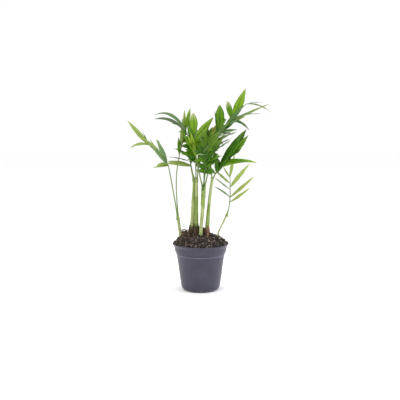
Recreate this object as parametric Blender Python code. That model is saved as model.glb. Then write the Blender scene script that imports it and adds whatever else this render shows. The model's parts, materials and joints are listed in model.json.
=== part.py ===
# A parlour palm in its 12 cm nursery pot.
# Sizes are in millimetres and angles in degrees; MM turns a size into Blender's metres.
# Headings run from +X (the right) toward +Y (the back); rises are above level.

import bmesh
import bpy
import numpy as np
from math import cos, pi, radians, sin

MM = 0.001
GAP = 0.3  # kept between neighbours
MERGE = 0.00001  # metres; points closer than this are one

POT_HEIGHT = 101
RIM_RADIUS = 60
FOOT_RADIUS = 33
POT_WALL = 1.2
POT_SIDES = 48
FLOOR_RADIUS = 37.4  # inside the pot, where its floor turns up into the wall
HOLE_COUNT = 6
HOLE_RADIUS = 3
HOLE_RING = 26
HOLE_SIDES = 10

SOIL_EDGE = 100  # height of the soil where it meets the rim
SOIL_HEAP = 16  # how much higher the middle stands
SOIL_REACH = 57  # radius where the heap is down at its edge
SOIL_SHOULDER = 3.4  # the higher, the flatter the heap's middle and the steeper its edge
SOIL_FLOOR = 4
SOIL_FLOOR_RADIUS = 37
SOIL_RINGS = (52.5, 46.5, 40, 33, 26, 19, 12.5, 6)
SOCKET_DEPTH = 4
SOCKET_REACH = 24  # from a socket's floor to the top of its cutter

LEAF_STATIONS = (0, 0.15, 0.36, 0.6, 0.83, 1)
LEAF_FOLD = 0.22  # how far the edges hang under the ridge, as a share of the half width
LEAF_ROOT = 1.1  # half width where a leaflet is sunk in its rib
LEAF_THICKNESS = 1.0
LEAF_THICK_SHARE = 0.014  # of its length, on a long leaflet
STALK_SIDES = 6
STEM_SIDES = 8
SOCKET_SIDES = 14
STEM_STEP = 12  # length of one straight stretch
STALK_STEP = 10
SPLIT_FROM = 30  # a stalk as long as this is a node apart from its rib and leaflets
SMOOTH_ANGLE = 50
UPRIGHT_NUDGE = np.array([0.000001, 0, 0])  # gives an upright limb a side

# The outer side of the pot, from the foot up: radius, height.
POT_PROFILE = (
    (FOOT_RADIUS, 0), (37.6, 1.4), (40.6, 4.8), (42.2, 10), (50.8, 74), (51.8, 75.6), (51.8, 77.2),
    (51.2, 78.4), (53.8, 80.6), (55.2, 84), (56.0, 90), (56.4, 94.6), (58.8, 97.6), (RIM_RADIUS, 99.4),
    (RIM_RADIUS, POT_HEIGHT - 0.4),
)

# Soft rises of the heap: where, how far they reach, how high they stand.
SOIL_LUMPS = (
    ((-38, 14), 15, 8), ((-22, -6), 12, 3), ((0, -16), 11, 2), ((18, 6), 13, 2), ((33, -20), 11, 2),
    ((40, 6), 12, 2), ((-12, 34), 14, 4), ((20, 38), 12, 3), ((-34, -28), 11, 2), ((2, -44), 11, 1.5),
)

# Each stem: its foot on the soil, the way it leans, its length and its radii from foot to tip.
STEMS = {
    "stem_left": dict(foot=(-42, 8), heading=(180, 180), rise=(80, 83), length=44, radii=(4.2, 3.4, 3.0, 3.1)),
    "stem_twin_left": dict(foot=(-19.2, 4), heading=(0, 0), rise=(86, 89), length=124,
                           radii=(5.6, 5.0, 4.7, 4.3, 3.0, 2.6)),
    "stem_twin_right": dict(foot=(-9.5, -4), heading=(0, 0), rise=(89, 90), length=124,
                            radii=(5.0, 4.3, 4.0, 3.4, 3.0, 2.6)),
    "stem_centre": dict(foot=(0, -14), heading=(0, 0, 0, 0), rise=(88, 85, 87, 88), length=108,
                        radii=(4.0, 3.7, 3.9, 4.2, 4.6, 4.8)),
    "stem_right_centre": dict(foot=(13.2, -6), heading=(0, 0, 0), rise=(88, 85, 81), length=128,
                              radii=(5.0, 4.6, 3.8, 3.3, 3.0, 2.7)),
    "stem_right": dict(foot=(33.6, -4), heading=(0, 0), rise=(74, 64, 66), length=58, radii=(2.4, 1.7, 1.6, 1.7)),
}

# Dry sheaths that stand round the stems' feet: the stem, the middle and width of the arc, height.
HUSKS = {
    "husk_twin_left": dict(stem="stem_twin_left", middle=225, arc=130, height=16),
    "husk_twin_right": dict(stem="stem_twin_right", middle=285, arc=130, height=25),
    "husk_right_centre": dict(stem="stem_right_centre", middle=250, arc=150, height=27),
}
HUSK_CLEAR = 0.8  # between a stem's foot and its sheath
HUSK_WALL = 0.9
HUSK_FLARE = 0.6  # how far a sheath's top stands off more than its foot
HUSK_STEPS = 10
HUSK_RAG = 0.2  # how far the top's edge swings, as a share of the height
HUSK_WAVES = 1.3

# Broken old stubs on the soil, written as the stems are.
STUBS = {
    "stub_centre": dict(foot=(8, 6), heading=(180, 180), rise=(86, 86), length=20, radii=(3.4, 3.0, 3.3)),
}


def leaf(side, at, length, width, spread, lift=0, sag=0.3):
    """A leaflet: its side of the rib, its place along it, its size, the angle it makes with the
    rib, how far it is lifted out of the frond's plane and how it arches down."""
    return dict(side=side, at=at, length=length, width=width, spread=spread, lift=lift, sag=sag)


LEFT, RIGHT = 1, -1

# Each frond: the stem it grows from, where on the stem's tip (heading, distance), its stalk and rib
# lengths, the way it runs, the roll of its blade and its leaflets.
FRONDS = {
    "frond_left": dict(
        stem="stem_left", foot=(215, 1.5), stalk=111, rib=64, radii=(1.7, 1.5, 1.3, 1.0, 0.6),
        heading=(180, 182, 184, 188, 190), rise=(83, 82, 80, 80, 80, 78, 48, 40, 40), roll=-40,
        leaves=(
            leaf(LEFT, 0.04, 33, 8, 50, lift=-12, sag=1.1),
            leaf(RIGHT, 0.2, 54, 10, 25, lift=-18, sag=0.1),
            leaf(RIGHT, 0.5, 38, 6, 14, lift=22, sag=0),
            leaf(RIGHT, 0.95, 34, 6, 26, lift=28, sag=0),
            leaf(LEFT, 0.97, 47, 8, 25, sag=1.05),
            leaf(RIGHT, 1, 68, 10, 8, lift=45, sag=-0.05),
        )),
    "frond_left_back": dict(
        stem="stem_left", foot=(75, 1.7), stalk=142, rib=46, radii=(1.5, 1.2, 1.1, 1.0, 0.6),
        heading=(170, 150, 80, 30, 20, 40), rise=(85, 86, 85, 79, 75, 82), roll=0,
        leaves=(
            leaf(LEFT, 0.05, 58, 11, 50, lift=-8, sag=0.6),
            leaf(RIGHT, 0.1, 34, 10, 66, lift=30, sag=0.1),
            leaf(LEFT, 0.4, 62, 11, 44, lift=-10, sag=0.5),
            leaf(RIGHT, 0.45, 26, 10, 58, lift=-70, sag=0.5),
            leaf(LEFT, 0.75, 58, 10, 38, lift=-12),
            leaf(RIGHT, 0.8, 32, 8, 80, lift=36, sag=1.2),
            leaf(LEFT, 1, 45, 7, 8, lift=20, sag=0),
            leaf(RIGHT, 1, 50, 11, 14, sag=0),
        )),
    "frond_low_left": dict(
        stem="stem_twin_left", foot=(200, 1.0), stalk=24, rib=42, radii=(2.2, 1.6, 1.2, 0.6),
        heading=(150, 150, 120, 110), rise=(72, 78, 80, 82), roll=0,
        leaves=(
            leaf(LEFT, 0.06, 58, 10, 64, lift=-26, sag=0.5),
            leaf(RIGHT, 0.2, 50, 11, 50, lift=-8, sag=0.4),
            leaf(LEFT, 0.3, 54, 5, 68, lift=-8),
            leaf(LEFT, 0.5, 46, 7, 38, sag=0.9),
            leaf(RIGHT, 0.55, 26, 10, 36, lift=-30),
            leaf(LEFT, 1, 28, 8, 24, lift=30, sag=0),
            leaf(RIGHT, 1, 22, 8, 14, lift=20, sag=0),
        )),
    "frond_arch": dict(
        stem="stem_twin_right", foot=(180, 1.5), stalk=40, rib=68, radii=(1.2, 1.4, 1.2, 0.6),
        heading=(90, 120, 160, 175), rise=(88, 86, 78, 40), roll=-20,
        leaves=(
            leaf(LEFT, 0.15, 34, 11, 66, lift=0, sag=0.5),
            leaf(RIGHT, 0.24, 32, 10, 46, lift=4, sag=0.5),
            leaf(LEFT, 0.4, 30, 10, 64, lift=-24, sag=0.5),
            leaf(RIGHT, 0.5, 62, 11, 47, lift=-18, sag=0.4),
            leaf(RIGHT, 0.8, 48, 10, 44, lift=8, sag=0.3),
            leaf(LEFT, 1, 88, 7, 24, lift=66, sag=1.15),
            leaf(RIGHT, 1, 86, 8, 14, lift=-20, sag=0.9),
        )),
    "frond_centre": dict(
        stem="stem_centre", foot=(165, 2.5), stalk=76, rib=36, radii=(1.5, 1.4, 1.2, 0.6),
        heading=(180, 170, 130, 90), rise=(76, 78, 80, 76), roll=0,
        leaves=(
            leaf(RIGHT, 0.02, 36, 10, 68, lift=95),
            leaf(LEFT, 0.05, 34, 10, 58, lift=30),
            leaf(RIGHT, 0.1, 62, 12, 48, lift=48, sag=0),
            leaf(LEFT, 0.4, 36, 10, 55, lift=24),
            leaf(RIGHT, 0.7, 62, 15, 44, lift=20, sag=0),
            leaf(LEFT, 1, 47, 17, 2, lift=0, sag=0),
        )),
    "frond_top": dict(
        stem="stem_centre", foot=(75, 2.5), stalk=91, rib=114, radii=(1.5, 1.6, 1.5, 1.3, 0.7),
        heading=(0, 0, 0, -8, -10, -15, -15), rise=(89, 89, 86, 42, 46, 50, 42), roll=50,
        leaves=(
            leaf(RIGHT, 0.1, 28, 11, 80, lift=40),
            leaf(LEFT, 0.3, 58, 19, 47, lift=30, sag=0),
            leaf(RIGHT, 0.3, 54, 12, 62, lift=26),
            leaf(LEFT, 0.62, 40, 12, 56, lift=36, sag=0),
            leaf(LEFT, 0.64, 67, 18, 18, lift=36, sag=0),
            leaf(RIGHT, 0.5, 42, 12, 47, lift=30, sag=0.2),
            leaf(RIGHT, 0.55, 54, 7, 31, sag=1.5),
            leaf(RIGHT, 0.58, 90, 7, 26, lift=-28, sag=0),
            leaf(RIGHT, 0.62, 73, 6, 31, sag=0.5),
            leaf(RIGHT, 1, 60, 6, 38, lift=-28, sag=0.9),
            leaf(LEFT, 1, 36, 4, 24, lift=-120, sag=0.5),
        )),
    "frond_right": dict(
        stem="stem_right_centre", foot=(0, 1.5), stalk=20, rib=52, radii=(1.3, 1.4, 1.2, 0.6),
        heading=(0, 0, 0, -10), rise=(62, 58, 38, 36), roll=40,
        leaves=(
            leaf(LEFT, 0.05, 34, 12, 56, sag=0.1),
            leaf(RIGHT, 0.1, 86, 10, 30, lift=-15, sag=0.8),
            leaf(LEFT, 0.2, 95, 19, 3, lift=46, sag=0),
            leaf(RIGHT, 0.5, 60, 9, 48, lift=10),
            leaf(LEFT, 0.7, 61, 14, 13, lift=60, sag=0),
            leaf(RIGHT, 1, 14, 8, 32, lift=25, sag=0),
            leaf(LEFT, 1, 16, 8, 13, lift=-38, sag=0),
        )),
    "frond_front": dict(
        stem="stem_centre", foot=(-105, 2.5), stalk=58, rib=50, radii=(1.5, 1.4, 1.2, 0.6),
        heading=(0, -60, -80, -85), rise=(84, 80, 70, 58), roll=0,
        leaves=(
            leaf(LEFT, 0.05, 66, 15, 26, lift=-8),
            leaf(RIGHT, 0.1, 40, 12, 52, lift=-10),
            leaf(LEFT, 0.38, 44, 12, 40, lift=-18, sag=0.2),
            leaf(RIGHT, 0.45, 46, 12, 30, lift=-30, sag=0.2),
            leaf(LEFT, 0.72, 44, 10, 34, lift=-30, sag=0.1),
            leaf(RIGHT, 0.78, 44, 11, 24, lift=-42, sag=0.2),
            leaf(LEFT, 1, 34, 8, 16, lift=-44, sag=0.1),
            leaf(RIGHT, 1, 36, 8, 12, lift=-60, sag=0.1),
        )),
    "frond_back_right": dict(
        stem="stem_centre", foot=(-15, 2.5), stalk=70, rib=72, radii=(1.5, 1.4, 1.2, 0.6),
        heading=(10, 50, 70, 75), rise=(78, 72, 58, 40), roll=0,
        leaves=(
            leaf(LEFT, 0.05, 34, 11, 44, lift=-16, sag=0.5),
            leaf(RIGHT, 0.1, 48, 10, 54, lift=10, sag=0.2),
            leaf(LEFT, 0.35, 46, 13, 42, lift=-24, sag=0.5),
            leaf(RIGHT, 0.4, 58, 12, 50, lift=10, sag=0.5),
            leaf(LEFT, 0.7, 48, 12, 31, lift=-26, sag=0.5),
            leaf(RIGHT, 0.76, 50, 11, 32, lift=-16, sag=0.3),
            leaf(LEFT, 1, 48, 10, 18, lift=-30, sag=0.3),
            leaf(RIGHT, 1, 46, 10, 12, lift=-38, sag=0.3),
        )),
    "frond_back_left": dict(
        stem="stem_twin_right", foot=(0, 1.5), stalk=56, rib=72, radii=(1.2, 1.3, 1.1, 0.6),
        heading=(60, 90, 95, 95), rise=(86, 72, 44, 20), roll=0,
        leaves=(
            leaf(LEFT, 0.05, 34, 12, 54, lift=-48, sag=0.5),
            leaf(RIGHT, 0.1, 32, 11, 58, lift=-46, sag=0.5),
            leaf(LEFT, 0.35, 48, 13, 44, lift=-42, sag=0.5),
            leaf(RIGHT, 0.42, 32, 11, 46, lift=-42, sag=0.5),
            leaf(LEFT, 0.7, 48, 12, 32, lift=-44, sag=0.5),
            leaf(RIGHT, 0.76, 46, 12, 32, lift=-38, sag=0.5),
            leaf(LEFT, 1, 46, 10, 18, lift=-52, sag=0.4),
            leaf(RIGHT, 1, 44, 10, 19, lift=-48, sag=0.4),
        )),
    "frond_back": dict(
        stem="stem_right_centre", foot=(180, 1.5), stalk=44, rib=76, radii=(1.2, 1.2, 1.1, 0.6),
        heading=(120, 95, 90, 85), rise=(84, 64, 34, 10), roll=0,
        leaves=(
            leaf(LEFT, 0.04, 30, 11, 52, lift=-24, sag=0.5),
            leaf(RIGHT, 0.1, 28, 11, 58, lift=-30, sag=0.5),
            leaf(LEFT, 0.35, 32, 12, 44, lift=-26, sag=0.5),
            leaf(RIGHT, 0.45, 40, 12, 50, lift=-10, sag=0.4),
            leaf(LEFT, 0.66, 32, 11, 32, lift=-10, sag=0.4),
            leaf(RIGHT, 0.8, 44, 12, 36, sag=0.4),
            leaf(LEFT, 1, 46, 10, 14, sag=0.3),
            leaf(RIGHT, 1, 44, 10, 20, lift=8, sag=0.3),
        )),
    "frond_right_front": dict(
        stem="stem_right", foot=(0, 0), stalk=24, rib=54, radii=(1.5, 1.1, 0.9, 0.6),
        heading=(0, 60, 95, 100), rise=(72, 80, 86, 86), roll=0,
        leaves=(
            leaf(RIGHT, 0.02, 58, 8, 54, sag=0),
            leaf(RIGHT, 0.22, 70, 9, 48, sag=0),
            leaf(LEFT, 0.22, 44, 5, 50, sag=0.4),
            leaf(LEFT, 0.52, 44, 5, 52, sag=0),
            leaf(RIGHT, 0.6, 66, 11, 40, sag=0),
            leaf(LEFT, 0.76, 46, 8, 48, sag=0),
            leaf(LEFT, 1.0, 32, 6, 32, sag=0),
            leaf(RIGHT, 1.0, 52, 9, 12, sag=0),
        )),
}


def directions(heading, rise, steps):
    """Unit directions at the middle of each step of a limb whose heading and rise change evenly."""
    share = (np.arange(steps) + 0.5) / steps
    turn = np.radians(np.interp(share, np.linspace(0, 1, len(heading)), heading))
    up = np.radians(np.interp(share, np.linspace(0, 1, len(rise)), rise))
    return np.column_stack([np.cos(up) * np.cos(turn), np.cos(up) * np.sin(turn), np.sin(up)])


def walk(start, ways, length):
    """Points of a limb that takes one equal step along each direction."""
    steps = ways * (length / len(ways))
    return np.vstack([start, start + np.cumsum(steps, axis=0)])


def unit(vector):
    return vector / np.linalg.norm(vector)


def level_side(way):
    """The level direction to the left of a limb that runs this way."""
    return unit(np.array([-way[1], way[0], 0.0]))


def smooth_mesh(name, points, faces):
    mesh = bpy.data.meshes.new(name)
    mesh.from_pydata([tuple(MM * point) for point in points], [], faces)
    mesh.validate()
    bm = bmesh.new()
    bm.from_mesh(mesh)
    bmesh.ops.recalc_face_normals(bm, faces=bm.faces)
    bm.to_mesh(mesh)
    bm.free()
    mesh.shade_smooth()
    mesh.set_sharp_from_angle(angle=radians(SMOOTH_ANGLE))
    return mesh


def add_object(name, mesh, material):
    item = bpy.data.objects.new(name, mesh)
    bpy.context.scene.collection.objects.link(item)
    item.data.materials.append(material)
    return item


def finish(name, colour, roughness):
    material = bpy.data.materials.new(name)
    material.use_nodes = True
    material.diffuse_color = (*colour, 1)
    shader = material.node_tree.nodes["Principled BSDF"]
    shader.inputs["Base Color"].default_value = (*colour, 1)
    shader.inputs["Roughness"].default_value = roughness
    shader.inputs["Metallic"].default_value = 0
    return material


def tube(points, radii, sides):
    """A closed tube along the points; its radii are spread evenly from first to last."""
    count = len(points)
    size = np.interp(np.linspace(0, 1, count), np.linspace(0, 1, len(radii)), radii)
    ways = np.gradient(points, axis=0)
    across = level_side(ways[0] + UPRIGHT_NUDGE)
    rings = []
    for point, way, radius in zip(points, ways, size):
        way = unit(way)
        across = unit(across - way * np.dot(across, way))
        over = np.cross(way, across)
        for k in range(sides):
            angle = 2 * pi * k / sides
            rings.append(point + radius * (cos(angle) * across + sin(angle) * over))
    faces = []
    for i in range(count - 1):
        for k in range(sides):
            n = (k + 1) % sides
            faces.append((i * sides + k, i * sides + n, (i + 1) * sides + n, (i + 1) * sides + k))
    faces.append(tuple(reversed(range(sides))))
    faces.append(tuple(range((count - 1) * sides, count * sides)))
    return rings, faces


def leaf_half_width(share, width):
    """Half width along a leaflet: a narrow foot, the broadest part before the middle, a long tip."""
    return max(LEAF_ROOT, 0.5 * width * max(sin(pi * share ** 0.78), 0) ** 0.85)


def leaf_blade(start, along, left, upper, spec):
    """A folded blade from a point of the rib, given the rib's direction, left side and upper side."""
    spread = radians(spec["spread"])
    lift = radians(spec["lift"])
    side = spec["side"]
    outward = side * left * cos(lift) + upper * sin(lift)
    way = cos(spread) * along + sin(spread) * outward
    across = side * (cos(spread) * outward - sin(spread) * along)
    down = np.array([0.0, 0.0, -1.0])
    thick = max(LEAF_THICKNESS, LEAF_THICK_SHARE * spec["length"])
    points = []
    point = start
    last = 0
    for share in LEAF_STATIONS:
        middle = (share + last) / 2
        bent = unit(way + down * spec["sag"] * middle)
        point = point + bent * spec["length"] * (share - last)
        last = share
        here = unit(way + down * spec["sag"] * share)
        across = unit(across - here * np.dot(across, here))
        normal = np.cross(here, across)
        if share == 1:
            points.append(point)
            break
        half = leaf_half_width(share, spec["width"])
        drop = LEAF_FOLD * half
        body = thick * (1 - 0.5 * share)
        points += [point + across * half - normal * drop, point + normal * body / 2,
                   point - across * half - normal * drop, point - normal * body / 2]
    faces = [(3, 2, 1, 0)]
    rings = len(LEAF_STATIONS) - 1
    for i in range(rings - 1):
        for k in range(4):
            n = (k + 1) % 4
            faces.append((4 * i + k, 4 * i + n, 4 * i + 4 + n, 4 * i + 4 + k))
    for k in range(4):
        faces.append((4 * rings - 4 + k, 4 * rings - 4 + (k + 1) % 4, 4 * rings))
    return points, faces


def join_all(base, pieces):
    """Joins the pieces to the base object with one union, and removes them."""
    group = bpy.data.collections.new("joining")
    bpy.context.scene.collection.children.link(group)
    for piece in pieces:
        bpy.context.scene.collection.objects.unlink(piece)
        group.objects.link(piece)
    apply_boolean(base, group, "UNION")


def apply_boolean(base, group, operation):
    """Applies one Boolean with a collection to the base object, and removes the collection."""
    modifier = base.modifiers.new(operation.lower(), "BOOLEAN")
    modifier.operation = operation
    modifier.solver = "EXACT"
    modifier.operand_type = "COLLECTION"
    modifier.collection = group
    bpy.context.view_layer.update()
    result = base.evaluated_get(bpy.context.evaluated_depsgraph_get())
    mesh = bpy.data.meshes.new_from_object(result)
    base.modifiers.clear()
    base.data = mesh
    base.data.name = base.name
    for piece in list(group.objects):
        bpy.data.objects.remove(piece)
    bpy.data.collections.remove(group)
    tidy_faces(base.data)


def connected(start):
    """All vertices joined to the first one by edges."""
    found = {start}
    queue = [start]
    while queue:
        for edge in queue.pop().link_edges:
            for vert in edge.verts:
                if vert not in found:
                    found.add(vert)
                    queue.append(vert)
    return found


def tidy_faces(mesh):
    """Closes hairline gaps left by a Boolean, drops slivers and keeps only the largest body."""
    bm = bmesh.new()
    bm.from_mesh(mesh)
    bmesh.ops.remove_doubles(bm, verts=bm.verts, dist=MERGE)
    bmesh.ops.dissolve_degenerate(bm, dist=MERGE, edges=bm.edges)
    bodies = []
    left = set(bm.verts)
    while left:
        bodies.append(connected(left.pop()))
        left -= bodies[-1]
    bodies.sort(key=len)
    bmesh.ops.delete(bm, geom=[vert for body in bodies[:-1] for vert in body], context="VERTS")
    bmesh.ops.triangulate(bm, faces=bm.faces)
    bm.to_mesh(mesh)
    bm.free()
    mesh.shade_smooth()
    mesh.set_sharp_from_angle(angle=radians(SMOOTH_ANGLE))


def soil_height(x, y):
    """Height of the heap: a low dome with soft lumps, level with the edge at the rim."""
    reach = min((x * x + y * y) ** 0.5 / SOIL_REACH, 1)
    height = SOIL_EDGE + SOIL_HEAP * (1 - reach ** SOIL_SHOULDER)
    for (cx, cy), size, lump in SOIL_LUMPS:
        height += lump * np.exp(-((x - cx) ** 2 + (y - cy) ** 2) / (size * size)) * (1 - reach ** 6)
    return height


def turned(profile, sides):
    """Points and faces of a closed profile turned about the pot's axis; a radius of 0 is a pole."""
    points, rows = [], []
    for radius, height in profile:
        if radius == 0:
            rows.append([len(points)] * sides)
            points.append(np.array([0.0, 0.0, height]))
            continue
        rows.append(list(range(len(points), len(points) + sides)))
        for k in range(sides):
            angle = 2 * pi * k / sides
            points.append(np.array([radius * cos(angle), radius * sin(angle), height]))
    faces = []
    for low, high in zip(rows, rows[1:]):
        for k in range(sides):
            n = (k + 1) % sides
            corners = [low[k], low[n], high[n], high[k]]
            corners = [c for i, c in enumerate(corners) if c not in corners[:i]]
            faces.append(tuple(corners))
    return points, faces


def make_pot(material):
    outer = list(POT_PROFILE)
    inner = [(radius - POT_WALL, height) for radius, height in outer[3:-2]]
    inner = [(FOOT_RADIUS, POT_WALL), (FLOOR_RADIUS, POT_WALL + 2)] + inner
    rim = [(RIM_RADIUS - 0.8, POT_HEIGHT), (RIM_RADIUS - 1.8, POT_HEIGHT - 0.6)]
    profile = [(0, 0)] + outer + rim + list(reversed(inner)) + [(0, POT_WALL)]
    points, faces = turned(profile, POT_SIDES)
    pot = add_object("pot", smooth_mesh("pot", points, faces), material)
    holes = bpy.data.collections.new("holes")
    bpy.context.scene.collection.children.link(holes)
    for k in range(HOLE_COUNT):
        angle = 2 * pi * (k + 0.5) / HOLE_COUNT
        centre = np.array([HOLE_RING * cos(angle), HOLE_RING * sin(angle), 0.0])
        ends = np.array([centre - (0, 0, 2), centre + (0, 0, POT_WALL + 2)])
        drill = smooth_mesh("hole", *tube(ends, (HOLE_RADIUS, HOLE_RADIUS), HOLE_SIDES))
        holes.objects.link(bpy.data.objects.new("hole", drill))
    apply_boolean(pot, holes, "DIFFERENCE")


def soil_solid(material):
    """The soil: a solid that fills the pot's inside with a heaped top."""
    wall = [(radius - POT_WALL - GAP, height) for radius, height in POT_PROFILE[3:-2] if height > SOIL_FLOOR]
    side = [(0, SOIL_FLOOR), (SOIL_FLOOR_RADIUS, SOIL_FLOOR)] + wall
    top = [(radius, SOIL_EDGE) for radius in SOIL_RINGS + (0,)]
    points, faces = turned(side + top, POT_SIDES)
    for point in points[1 + POT_SIDES * (len(side) - 1):]:
        point[2] = soil_height(point[0], point[1])
    return add_object("soil", smooth_mesh("soil", points, faces), material)


def stem_path(spec):
    x, y = spec["foot"]
    start = np.array([x, y, soil_height(x, y) - SOCKET_DEPTH])
    ways = directions(spec["heading"], spec["rise"], max(5, round(spec["length"] / STEM_STEP)))
    return walk(start, ways, spec["length"]), ways


def make_stem(name, spec, material):
    points, _ = stem_path(spec)
    return add_object(name, smooth_mesh(name, *tube(points, spec["radii"], STEM_SIDES)), material)


def frond_path(spec):
    """Points and directions of a frond's stalk and rib, from just clear of its stem's tip."""
    stem_points, stem_ways = stem_path(STEMS[spec["stem"]])
    tip, up = stem_points[-1], stem_ways[-1]
    side = level_side(up)
    over = np.cross(side, up)
    around, away = spec["foot"]
    turn = radians(around) - np.arctan2(-over[1], -over[0])
    out = -over * cos(turn) - side * sin(turn)
    total = spec["stalk"] + spec["rib"]
    ways = directions(spec["heading"], spec["rise"], max(8, round(total / STALK_STEP)))
    lean = np.linalg.norm(np.cross(up, ways[0]))
    start = tip + out * away + up * (GAP + spec["radii"][0] * lean)
    return walk(start, ways, total), ways


def leaf_on_rib(points, ways, spec, one):
    """A leaflet's blade at its share of the rib, in the plane of the frond with its roll."""
    along = (spec["stalk"] + spec["rib"] * one["at"]) / (spec["stalk"] + spec["rib"])
    place = min(along, 0.995) * len(ways)
    low = int(place)
    start = points[low] + (points[low + 1] - points[low]) * (place - low)
    left = level_side(ways[low])
    upper = np.cross(ways[low], left)
    roll = radians(spec["roll"])
    left, upper = cos(roll) * left + sin(roll) * upper, cos(roll) * upper - sin(roll) * left
    return leaf_blade(start, ways[low], left, upper, one)


def split_stalk(name, spec, points, ways, size, material):
    """Makes a long stalk a node of its own, which ends just clear of its rib. Returns the rib's first point."""
    if spec["stalk"] < SPLIT_FROM:
        return 0
    split = int(len(ways) * spec["stalk"] / (spec["stalk"] + spec["rib"]))
    bend = np.linalg.norm(np.cross(ways[split - 1], ways[split]))
    stalk = points[:split + 1].copy()
    stalk[-1] -= ways[split - 1] * (GAP + size[split] * bend)
    stalk_name = name.replace("frond", "stalk")
    add_object(stalk_name, smooth_mesh(stalk_name, *tube(stalk, size[:split + 1], STALK_SIDES)), material)
    return split


def make_frond(name, spec, material):
    points, ways = frond_path(spec)
    size = np.interp(np.linspace(0, 1, len(points)), np.linspace(0, 1, len(spec["radii"])), spec["radii"])
    first = split_stalk(name, spec, points, ways, size, material)
    rib = smooth_mesh(name, *tube(points[first:], size[first:], STALK_SIDES))
    frond = add_object(name, rib, material)
    leaves = [smooth_mesh("leaf", *leaf_on_rib(points, ways, spec, one)) for one in spec["leaves"]]
    join_all(frond, [add_object("leaf", mesh, material) for mesh in leaves])


def make_husk(name, spec, material):
    """A dry sheath: an arc of wall round a stem's foot, with a ragged top."""
    stem = STEMS[spec["stem"]]
    points, _ = stem_path(stem)
    foot = points[0]
    up = unit(points[2] - foot)
    inside = stem["radii"][0] + HUSK_CLEAR
    outside = inside + HUSK_WALL
    corners = []
    for k in range(HUSK_STEPS + 1):
        share = k / HUSK_STEPS
        angle = radians(spec["middle"] + spec["arc"] * (share - 0.5))
        out = np.array([cos(angle), sin(angle), 0.0])
        out = unit(out - up * np.dot(out, up))
        top = foot + up * spec["height"] * (1 - HUSK_RAG * (1 - cos(2 * pi * HUSK_WAVES * share)))
        corners += [foot + out * inside, foot + out * outside,
                    top + out * (outside + HUSK_FLARE), top + out * (inside + HUSK_FLARE)]
    last = 4 * HUSK_STEPS
    faces = [(0, 1, 2, 3), (last + 3, last + 2, last + 1, last)]
    for k in range(0, last, 4):
        for j in range(4):
            n = (j + 1) % 4
            faces.append((k + j, k + 4 + j, k + 4 + n, k + n))
    return add_object(name, smooth_mesh(name, corners, faces), material)


def cut_sockets(soil):
    """Cuts a close hole in the soil round each stem's foot with its sheath, and round each stub."""
    group = bpy.data.collections.new("sockets")
    bpy.context.scene.collection.children.link(group)
    sheathed = {spec["stem"] for spec in HUSKS.values()}
    for name, spec in {**STEMS, **STUBS}.items():
        points, _ = stem_path(spec)
        room = GAP + (HUSK_CLEAR + HUSK_WALL + HUSK_FLARE if name in sheathed else 0)
        down = unit(points[0] - points[1])
        ends = np.array([points[0] + down * GAP, points[0] - down * SOCKET_REACH])
        wide = spec["radii"][0] + room
        drill = smooth_mesh("socket", *tube(ends, (wide, wide), SOCKET_SIDES))
        group.objects.link(bpy.data.objects.new("socket", drill))
    apply_boolean(soil, group, "DIFFERENCE")


def clear_scene():
    for item in list(bpy.data.objects):
        bpy.data.objects.remove(item)


def main():
    clear_scene()
    plastic = finish("grey_plastic", (0.11, 0.105, 0.14), 0.5)
    peat = finish("peat_and_bark", (0.045, 0.032, 0.025), 0.95)
    cane = finish("pale_cane", (0.42, 0.48, 0.22), 0.6)
    dry = finish("dry_sheath", (0.20, 0.12, 0.05), 0.9)
    green = finish("leaf_green", (0.10, 0.26, 0.03), 0.45)

    make_pot(plastic)
    soil = soil_solid(peat)
    cut_sockets(soil)
    for name, spec in STEMS.items():
        make_stem(name, spec, cane)
    for name, spec in STUBS.items():
        make_stem(name, spec, dry)
    for name, spec in HUSKS.items():
        make_husk(name, spec, dry)
    for name, spec in FRONDS.items():
        make_frond(name, spec, green)


main()
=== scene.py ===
# A parlour palm in its 12 cm nursery pot: the looks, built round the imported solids.
# Sizes are in millimetres and angles in degrees; meshOf turns them into Blender's metres.
# Headings run from +X (the right) toward +Y (the back), and rises are above level.

import json
from math import cos, pi, radians, sin

import bpy
import numpy as np
from mathutils import Matrix

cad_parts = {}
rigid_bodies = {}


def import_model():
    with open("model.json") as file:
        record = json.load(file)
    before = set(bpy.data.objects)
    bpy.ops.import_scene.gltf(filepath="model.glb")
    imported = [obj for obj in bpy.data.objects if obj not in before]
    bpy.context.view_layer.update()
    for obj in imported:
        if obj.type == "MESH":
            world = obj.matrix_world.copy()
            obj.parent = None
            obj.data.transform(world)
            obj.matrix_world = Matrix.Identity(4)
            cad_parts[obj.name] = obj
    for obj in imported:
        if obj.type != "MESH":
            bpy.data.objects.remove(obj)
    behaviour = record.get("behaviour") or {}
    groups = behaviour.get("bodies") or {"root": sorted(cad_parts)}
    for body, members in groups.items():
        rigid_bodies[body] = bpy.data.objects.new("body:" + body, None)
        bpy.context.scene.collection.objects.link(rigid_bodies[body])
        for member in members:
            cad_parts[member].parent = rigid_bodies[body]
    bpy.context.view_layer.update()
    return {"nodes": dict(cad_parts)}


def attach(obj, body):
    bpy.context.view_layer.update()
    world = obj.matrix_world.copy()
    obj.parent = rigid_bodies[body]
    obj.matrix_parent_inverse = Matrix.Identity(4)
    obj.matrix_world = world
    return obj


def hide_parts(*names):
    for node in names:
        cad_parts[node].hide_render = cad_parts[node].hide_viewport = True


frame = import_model()
mm = 0.001
down = np.array([0.0, 0.0, -1.0])
print("frame loaded:", len(frame["nodes"]), "solids")


# Colours and nodes

def colour(code):
    # An sRGB hex value turned to linear light, channel by channel.
    share = np.array([int(code[i:i + 2], 16) for i in (1, 3, 5)]) / 255
    linear = np.where(share <= 0.04045, share / 12.92, ((share + 0.055) / 1.055) ** 2.4)
    return (*linear.tolist(), 1.0)


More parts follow.
